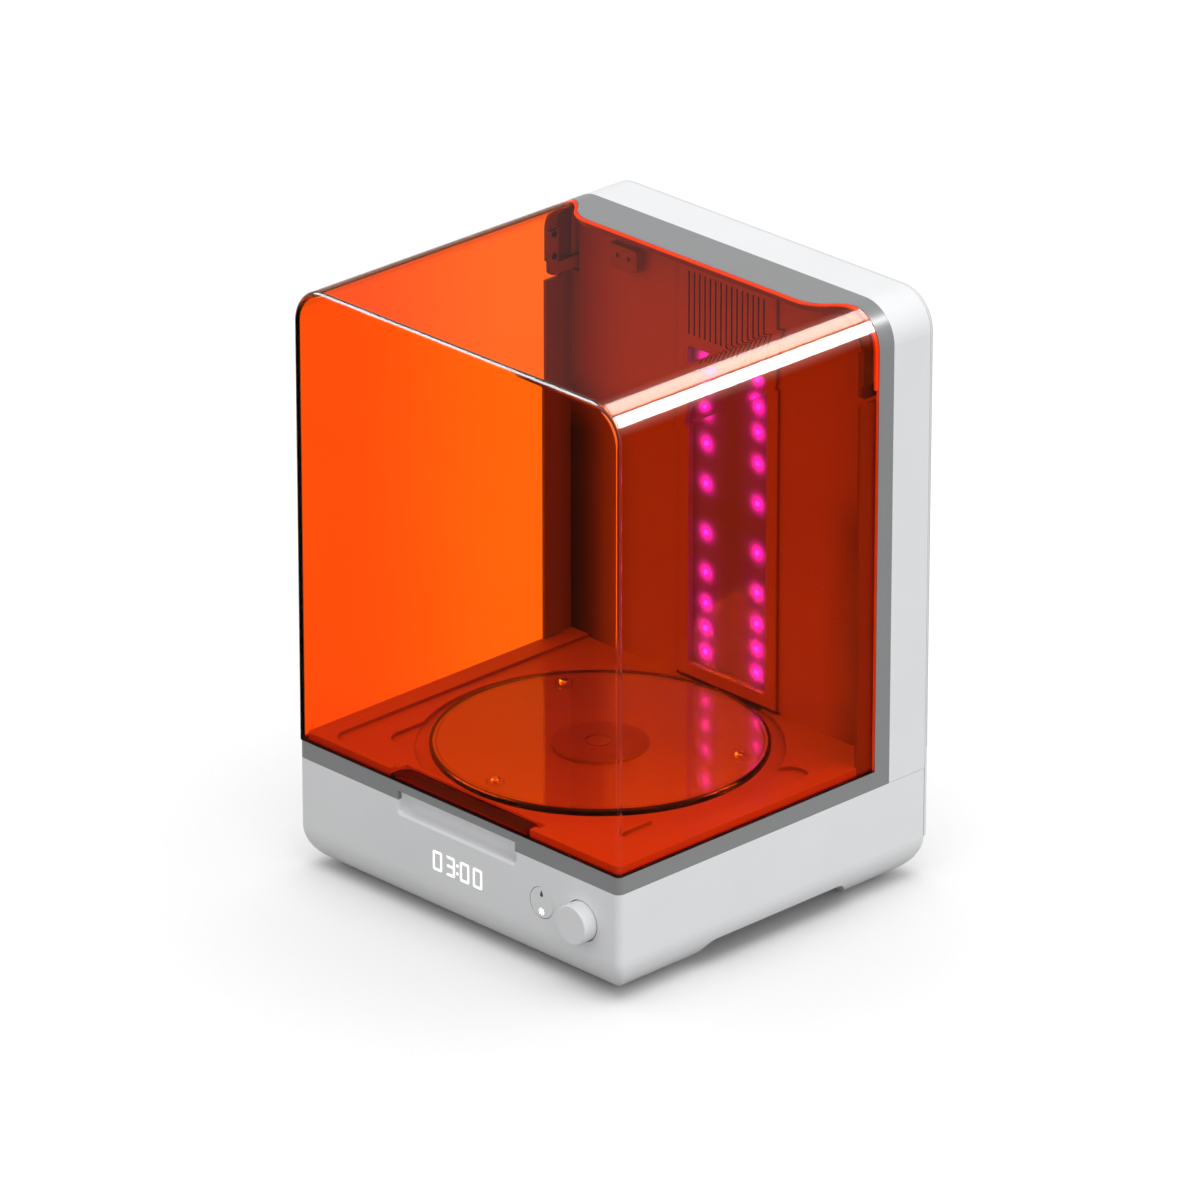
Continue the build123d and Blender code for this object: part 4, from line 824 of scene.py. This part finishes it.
# Painted shade at the hood's foot and a painted deeper band above it, for how the lower edge looks through
# the wall: where they end above the hood's lower edge, and their shares of its colour
FOOT_FROM, FOOT_TO, FOOT_SHADE_SHARE = 0.0011, 0.0014, 0.15
BAND_FROM, BAND_TO, BAND_SHARES = 0.0024, 0.0028, (0.95, 0.5, 0.5)
# Left wall, painted paler towards the rear as light from a glow: distance from front and rear, from the left,
# and how much more green
FADE_Y = 0.03
LEFT_FROM, LEFT_TO = 0.004, 0.006
PALER_GREEN = 1.3
# Polished corners: shares of the top rounding upwards, and distances behind the front rounding
CORNER_FROM, CORNER_TO = 0.24, 0.46
BEHIND_FROM, BEHIND_TO = 0.0007, 0.0012
# Polished front edge: distances behind the front and its rounding, and its share on the upright edges
EDGE_FROM, EDGE_TO, EDGE_END = 0.00005, 0.0002, 0.0001
UPRIGHT_SHARE = 0.25
POLISH_ROUGHNESS, HAZE_ROUGHNESS, HAZE_SHARE = 0.06, 0.26, 0.16
# Strength of the painted glow on the hood's cut edge
CUT_EDGE_PAINTED_GLOW = 0.22


def hood_colour(g, s, at, along, depth):
    """Colour of the acrylic, with painted light making the left wall's rear paler, and at the lower edge a
    painted deeper band and, below it, painted shade.
    """
    low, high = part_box("hood_shell")
    amber = [c ** (0.5 * depth) for c in s.amber]
    cast = g.tint(g.ramp(g.noise(at, 9.0), 0.3, 0.7), amber, shade(amber, 0.985))
    # Painted light: the left wall turns paler towards its rear
    back = g.ramp(along["Y"], low.y + FADE_Y, high.y - FADE_Y, smooth=True)
    beside = g.ramp(along["X"], low.x + LEFT_FROM, low.x + LEFT_TO, 1.0, 0.0)
    cast = g.tint(g.product(back, beside), cast, [amber[0], amber[1] * PALER_GREEN, amber[2]])
    # Painted deeper band, then painted shade at the foot
    band = g.ramp(along["Z"], low.z + BAND_FROM, low.z + BAND_TO, 1.0, 0.0)
    cast = g.tint(band, cast, [c * share for c, share in zip(amber, BAND_SHARES)])
    foot = g.ramp(along["Z"], low.z + FOOT_FROM, low.z + FOOT_TO, 1.0, 0.0)
    return g.tint(foot, cast, shade(amber, FOOT_SHADE_SHARE))


def hood_roundings(g, s, along):
    """1 on the polished roundings of the top's corners and of the front edge."""
    low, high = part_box("hood_shell")
    across = g.math("SUBTRACT", g.math("ABSOLUTE", along["X"]), high.x - s.top_radius)
    above = g.math("SUBTRACT", along["Z"], high.z - s.top_radius)
    ahead = g.math("SUBTRACT", along["Y"], low.y)
    half = s.top_radius * 0.5
    corner = g.product(
        g.ramp(across, 0.0, half, smooth=True),
        g.ramp(above, s.top_radius * CORNER_FROM, s.top_radius * CORNER_TO, smooth=True),
        g.ramp(ahead, s.edge_radius + BEHIND_FROM, s.edge_radius + BEHIND_TO),
    )
    front = g.product(
        g.ramp(ahead, EDGE_FROM, EDGE_TO),
        g.ramp(ahead, s.edge_radius, s.edge_radius + EDGE_END, 1.0, 0.0),
        g.ramp(above, 0.0, half, UPRIGHT_SHARE, 1.0),
    )
    return g.math("MAXIMUM", corner, front)


def amber_acrylic(name, s, depth=1.0):
    """Amber acrylic that bends what is behind it; its flats mirror little, its polished roundings more."""
    g = material(name)
    at = g.place()
    along = g.split(at)
    colour = hood_colour(g, s, at, along, depth)
    body = g.out("ShaderNodeBsdfRefraction", Color=colour, IOR=s.ior, Roughness=0.0)
    polish, haze = (
        g.out("ShaderNodeBsdfAnisotropic", Roughness=roughness)
        for roughness in (POLISH_ROUGHNESS, HAZE_ROUGHNESS)
    )
    flat, bent = (g.out("ShaderNodeFresnel", IOR=ior) for ior in (s.sheen, s.bent_sheen))
    mirror = g.between(hood_roundings(g, s, along), flat, bent)
    glass = g.blend(mirror, body, g.blend(HAZE_SHARE, polish, haze))
    path = g.add("ShaderNodeLightPath").outputs
    within = g.math("GREATER_THAN", path["Transmission Depth"], 0.5)
    tinted = g.tint(within, (s.shadow,) * 3, [sqrt(c) for c in s.glow])
    return g.close(lamp_passes(g, glass, g.out("ShaderNodeBsdfTransparent", Color=tinted)))


def cut_edge(name, s):
    """Cut edge of the amber acrylic, with a painted glow standing in for the light that the sheet gathers."""
    g = material(name)
    patch = g.ramp(g.noise(g.place(), 60.0, 2.0), 0.3, 0.7)
    red = (s.amber[0], s.amber[1] * 0.5, s.amber[2])
    # Painted glow: the cut edge emits light though it is no lamp
    return g.close(g.principled(
        Base_Color=g.tint(patch, shade(red, 0.85), red),
        Emission_Color=g.tint(patch, shade(s.glow, 0.85), s.glow),
        Emission_Strength=CUT_EDGE_PAINTED_GLOW,
        Roughness=0.4,
    ))


class UNIT_OT_hood(Build, bpy.types.Operator):
    """Makes the clear amber hood and its lift lip"""
    bl_idname = "unit.hood"
    bl_label = "Hood"

    LIP_TINT = 0.4

    def execute(self, context):
        s = context.scene.unit_hood
        shell = HoodForm(s)
        points, faces, marks = shell.walls()
        finishes = [amber_acrylic("amber_acrylic", s), cut_edge("amber_cut_edge", s)]
        piece("amber_hood", points, faces, finishes, "hood", ["hood_shell"], 25, marks)
        points, faces = shell.lip()
        paler = amber_acrylic("amber_lip", s, self.LIP_TINT)
        piece("lift_lip", points, faces, [paler], "hood", [], 25)
        return {"FINISHED"}


def taped_arm(name):
    """Painted arm with dark bonding tape on the face that lies against the hood's wall."""
    g = material(name)
    at = g.place()
    facing = g.split(g.add("ShaderNodeNewGeometry").outputs["Normal"])
    outwards = g.product(facing["X"], g.math("SIGN", g.split(at)["X"]))
    weave = g.noise(at, 1800.0, 2.0, 0.6)
    paint = g.tint(weave, (0.32, 0.29, 0.28), (0.36, 0.33, 0.32))
    tape = g.tint(weave, (0.02, 0.016, 0.016), (0.035, 0.03, 0.03))
    return g.close(g.principled(
        Base_Color=g.tint(g.ramp(outwards, -0.1, 0.05), paint, tape),
        Normal=g.bump(weave, 0.4, 0.00001),
        Roughness=0.6,
    ))


def turned_steel():
    """The bright steel of pins, shafts, studs and screws, made once."""
    name = "turned_steel_finish"
    return bpy.data.materials.get(name) or metal(name, (0.68, 0.68, 0.69), 0.22, (1, 1, 0.2))


class UNIT_OT_turntable(Build, bpy.types.Operator):
    """Makes the clear turntable and finishes its studs, its drive and the hinge"""
    bl_idname = "unit.turntable"
    bl_label = "Turntable and hinge"

    # Socket under the disc, the bevel and the rounding of its edge
    SOCKET_RADIUS, SOCKET_DEPTH = 0.0084, 0.0023
    BEVEL = 0.0006
    ROUNDING, ROUNDING_STEPS = 0.0014, 6
    DISC_STEPS = 160

    def execute(self, context):
        low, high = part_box("turntable")
        centre, radius = (low + high) / 2, high.x
        rings = [(self.SOCKET_RADIUS, low.z), (radius - self.BEVEL, low.z), (radius, low.z + self.BEVEL)]
        rings += arc(radius - self.ROUNDING, high.z - self.ROUNDING, self.ROUNDING, self.ROUNDING_STEPS)
        roof = low.z + self.SOCKET_DEPTH
        rings += [(0.0, high.z), (0.0, roof), (self.SOCKET_RADIUS, roof), (self.SOCKET_RADIUS, low.z)]
        points, faces = lathe(rings, centre, self.DISC_STEPS)
        studs = [tuple((a + b) / 2) for a, b in loose_boxes("turntable_studs")]
        disc = clear("clear_disc_finish", (0.95, 0.955, 0.95), 1.5, rim=(tuple(centre), radius), dots=studs)
        piece("clear_turntable", points, faces, [disc], "turntable_disc", ["turntable"], 35)
        coat(turned_steel(), "turntable_studs", "motor_shaft", "hinge_pins", "inlet_pins")
        coat(plastic("hub_finish", (0.40, 0.36, 0.35), 0.4), "drive_hub")
        coat(metal("bronze_finish", (0.55, 0.38, 0.2), 0.4), "hub_bearing", "friction_discs")
        sheet = metal("sheet_steel_finish", (0.6, 0.61, 0.62), 0.34, (1, 0.15, 1))
        coat(sheet, "motor_bracket", "turntable_motor")
        coat(taped_arm("taped_arm_finish"), "hinge_arm_right", "hinge_arm_left")
        paint = plastic("bracket_paint", (0.16, 0.145, 0.14), 0.45, PAINT_GRAIN)
        coat(paint, "hinge_bracket_right", "hinge_bracket_left")
        return {"FINISHED"}


def led_rows():
    """Half the distance between the LED columns, their middle height and the rows' heights from it."""
    chips = [(low + high) / 2 for low, high in loose_boxes("led_emitters")]
    middle = sum(chip.z for chip in chips) / len(chips)
    offsets = {round(abs(chip.z - middle), 4) for chip in chips}
    return max(chip.x for chip in chips), middle, sorted(offsets)


def painted_halo(g, spread):
    """Painted glow round each chip, 1 at its middle."""
    column, middle, offsets = led_rows()
    along = g.split(g.place())
    across = g.math("SUBTRACT", g.math("ABSOLUTE", along["X"]), column)
    up = g.math("ABSOLUTE", g.math("SUBTRACT", along["Z"], middle))
    across = g.product(across, across)
    total = 0.0
    for offset in offsets:
        away = g.math("SUBTRACT", up, offset)
        square = g.math("ADD", across, g.product(away, away))
        total = g.math("ADD", total, g.math("EXPONENT", g.math("DIVIDE", square, -spread * spread)))
    return total


def led_board_finish(s):
    """Grey board with the chips' glow painted on it as emission."""
    g = material("led_board_finish")
    near = g.product(painted_halo(g, CHIP_GLOW), CHIP_GLOW_SHARE)
    wide = g.product(painted_halo(g, BOARD_GLOW), BOARD_GLOW_SHARE)
    grain = g.noise(g.place(), 1200.0, 2.0)
    return g.close(g.principled(
        Base_Color=g.tint(g.ramp(grain, 0.3, 0.7), BOARD_DARK, BOARD_PALE),
        Emission_Color=g.tint(g.math("ADD", near, wide), (0, 0, 0), s.violet),
        Emission_Strength=s.chip * BOARD_STRENGTH,
        Roughness=0.4,
    ))


class UNIT_OT_light_panel(Build, bpy.types.Operator):
    """Lights the LED panel and finishes its board, window and heat sink"""
    bl_idname = "unit.light_panel"
    bl_label = "Light panel"

    def execute(self, context):
        s = context.scene.unit_lamps
        coat(clear("window_finish", (0.96, 0.96, 0.97), 1.15), "led_window")
        led_chips(glowing("emitter_finish", tuple(s.violet), s.chip, (0.8, 0.8, 0.6)))
        coat(led_board_finish(s), "led_board")
        coat(metal("heatsink_finish", (0.72, 0.73, 0.74), 0.3, (1, 1, 0.05)), "led_heatsink")
        return {"FINISHED"}


class UNIT_OT_controls(Build, bpy.types.Operator):
    """Lights the display and finishes the icons, the electric parts, the fans and the circuit boards"""
    bl_idname = "unit.controls"
    bl_label = "Controls and electric parts"

    def execute(self, context):
        s = context.scene.unit_lamps
        coat(glowing("digit_finish", (1, 1, 1), s.digit, (0.9, 0.9, 0.9)), "timer_digits", "button_sun_icon")
        coat(plastic("icon_finish", (0.03, 0.03, 0.033), 0.5, 0.0005, 0.00001), "button_drop_icon")
        board = plastic("circuit_board_finish", (0.03, 0.13, 0.06), 0.35, 0.002, 0.00004, mottle=0.2)
        coat(board, "display_board", "main_board")
        coat(
            plastic("dark_plastic_finish", (0.045, 0.045, 0.048), 0.45),
            "display_module", "button_switch", "encoder_carriage", "rotary_encoder", "heater_duct",
            "power_inlet", "power_switch", "power_rocker", "cooling_fan_frame", "cooling_impeller",
            "warm_air_fan_frame", "warm_air_impeller",
        )
        coat(metal("encoder_steel_finish", (0.6, 0.6, 0.61), 0.25), "encoder_shaft")
        return {"FINISHED"}


class UNIT_OT_fittings(Build, bpy.types.Operator):
    """Finishes the screws, feet, bumpers, heater, power supply and standoffs"""
    bl_idname = "unit.fittings"
    bl_label = "Fittings"

    def execute(self, context):
        black = metal("black_screw_finish", (0.05, 0.05, 0.052), 0.4)
        screw_heads("base_plate_screws", "-z", black, "base", "black_steel")
        screw_heads("back_cover_screws", "y", black, "base", "black_steel")
        screw_heads("arm_screws", "in", black, "hood", "black_steel")
        screw_heads("hinge_bracket_screws", "y", turned_steel(), "base", "turned_steel")
        rubber = plastic("rubber_finish", (0.035, 0.035, 0.037), 0.75, PAINT_GRAIN, 0.00006, mottle=0.1)
        round_feet(rubber)
        coat(rubber, "hood_bumpers")
        coat(metal("heater_finish", (0.74, 0.74, 0.75), 0.3, (1, 0.1, 1)), "ptc_heater")
        coat(metal("supply_finish", (0.62, 0.63, 0.64), 0.35, (0.1, 1, 1)), "power_supply")
        coat(metal("standoff_finish", (0.55, 0.4, 0.22), 0.3), "board_standoffs")
        return {"FINISHED"}


# -------- stage
FLOOR_REACH = 12.0
# Direction of the dome's bright side, and its darkest and brightest share
DOME_TOWARDS, DOME_DARK, DOME_BRIGHT = (0.60, 0.74, 0.3), 0.68, 1.4
# Lamps: name, direction towards the lamp, strength or the setting that gives it, and their width in degrees
UNIT_LAMPS = (
    ("key_lamp", (0.45, 0.05, 0.89), "key", 60),
    ("side_lamp", (0.95, 0.1, 0.30), "fill", 60),
    ("front_lamp", (-0.35, -0.85, 0.4), "front", 60),
)
FLOOR_LAMPS = (("floor_lamp", (-0.02, -0.02, 1.0), "overhead", 60),)
HOOD_LAMPS = (
    ("edge_lamp", (0.531, 0.638, 0.556), 7.5, 26),
    ("glow_lamp", (0.0, 0.64, 0.77), 3.0, 30),
    ("front_edge_lamp", (-0.655, -0.383, 0.617), 9.0, 44),
)
TRIM_LAMPS = (("corner_lamp", (0.45, 0.638, 0.63), 3.2, 10),)
CAMERA_PLACE = (4.18229, -4.07988, 2.77002)
CAMERA_TILT, CAMERA_TURN = 66.162, 45.756
CAMERA_LENS, CAMERA_SENSOR = 305.0, 36.0


def suns(name, lit, lamps, settings=None):
    """Lamps that light only the given pieces; without settings they only add a highlight."""
    group = bpy.data.collections.new(name)
    for made in lit:
        group.objects.link(made)
    for lamp_name, direction, strength, angle in lamps:
        data = bpy.data.lights.new(lamp_name, "SUN")
        data.energy = getattr(settings, strength) if settings else strength
        data.angle = radians(angle)
        lamp = add_object(lamp_name, data)
        lamp.rotation_mode = "QUATERNION"
        lamp.rotation_quaternion = Vector(direction).to_track_quat("Z", "Y")
        lamp.visible_diffuse = settings is not None
        lamp.light_linking.receiver_collection = group


def set_floor(s):
    """Floor that keeps the unit's shadow, white where it is looked at and darker where it lights the unit."""
    mesh = bpy.data.meshes.new("floor")
    corners = [(FLOOR_REACH * x, FLOOR_REACH * y, 0) for x, y in ((-1, -1), (1, -1), (1, 1), (-1, 1))]
    mesh.from_pydata(corners, [], [(0, 1, 2, 3)])
    floor = add_object("floor", mesh)
    g = material("floor_finish")
    colour = g.tint(seen_directly(g), s.floor, (s.floor_seen,) * 3)
    mesh.materials.append(g.close(g.out("ShaderNodeBsdfDiffuse", Color=colour)))
    return floor


def set_dome(s):
    """White dome, brighter on one side as a light, even where it is looked at."""
    world = bpy.data.worlds.new("studio_dome")
    world.use_nodes = True
    bpy.context.scene.world = world
    g = Graph(world.node_tree)
    sky = g.add("ShaderNodeTexCoord").outputs["Generated"]
    towards = g.vector("DOT_PRODUCT", sky, DOME_TOWARDS)
    dome = g.ramp(towards, -1.0, 1.0, s.dome * DOME_DARK, s.dome * DOME_BRIGHT)
    strength = g.between(seen_directly(g), dome, 1.0)
    back = g.out("ShaderNodeBackground", Color=(1, 1, 1, 1), Strength=strength)
    g.join(back, g.add("ShaderNodeOutputWorld").inputs[0])


def set_camera():
    data = bpy.data.cameras.new("camera")
    data.lens = CAMERA_LENS
    data.sensor_width = CAMERA_SENSOR
    camera = add_object("camera", data)
    camera.location = CAMERA_PLACE
    camera.rotation_euler = (radians(CAMERA_TILT), 0, radians(CAMERA_TURN))
    bpy.context.scene.camera = camera


class UNIT_OT_studio(Build, bpy.types.Operator):
    """Sets the floor, the dome, the lamps and the camera"""
    bl_idname = "unit.studio"
    bl_label = "Studio"

    def execute(self, context):
        s, scene = context.scene.unit_studio, context.scene
        scene.view_settings.view_transform = "Standard"
        floor = set_floor(s)
        set_dome(s)
        unit = [made for made in scene.objects if made.type == "MESH" and made != floor]
        suns("lit_unit", unit, UNIT_LAMPS, s)
        suns("lit_floor", [floor], FLOOR_LAMPS, s)
        suns("polished_hood", [scene.objects["amber_hood"]], HOOD_LAMPS)
        suns("rounded_trim", [nodes["trim_frame"]], TRIM_LAMPS)
        set_camera()
        return {"FINISHED"}


MAKERS = (
    UNIT_OT_shells, UNIT_OT_chamber, UNIT_OT_hood, UNIT_OT_turntable, UNIT_OT_light_panel,
    UNIT_OT_controls, UNIT_OT_fittings, UNIT_OT_studio,
)
SETTINGS = (
    ("unit_shells", ShellFinish), ("unit_hood", HoodFinish),
    ("unit_lamps", LampFinish), ("unit_studio", StudioSettings),
)


class UNIT_PT_panel(bpy.types.Panel):
    """Lists the unit's sizes, colours and pieces"""
    bl_idname = "UNIT_PT_panel"
    bl_label = "Light curing unit"
    bl_space_type = "VIEW_3D"
    bl_region_type = "UI"
    bl_category = "Curing unit"

    def draw(self, context):
        for name, group in SETTINGS:
            box = self.layout.box()
            for key in group.__annotations__:
                box.prop(getattr(context.scene, name), key)
        for maker in MAKERS:
            self.layout.operator(maker.bl_idname)


def register():
    for name, group in SETTINGS:
        bpy.utils.register_class(group)
        setattr(bpy.types.Scene, name, bpy.props.PointerProperty(type=group))
    for maker in MAKERS:
        bpy.utils.register_class(maker)
    bpy.utils.register_class(UNIT_PT_panel)


def unregister():
    bpy.utils.unregister_class(UNIT_PT_panel)
    for maker in reversed(MAKERS):
        bpy.utils.unregister_class(maker)
    for name, group in reversed(SETTINGS):
        delattr(bpy.types.Scene, name)
        bpy.utils.unregister_class(group)


def main():
    register()
    for maker in MAKERS:
        area, name = maker.bl_idname.split(".")
        getattr(getattr(bpy.ops, area), name)()


if __name__ == "__main__":
    main()
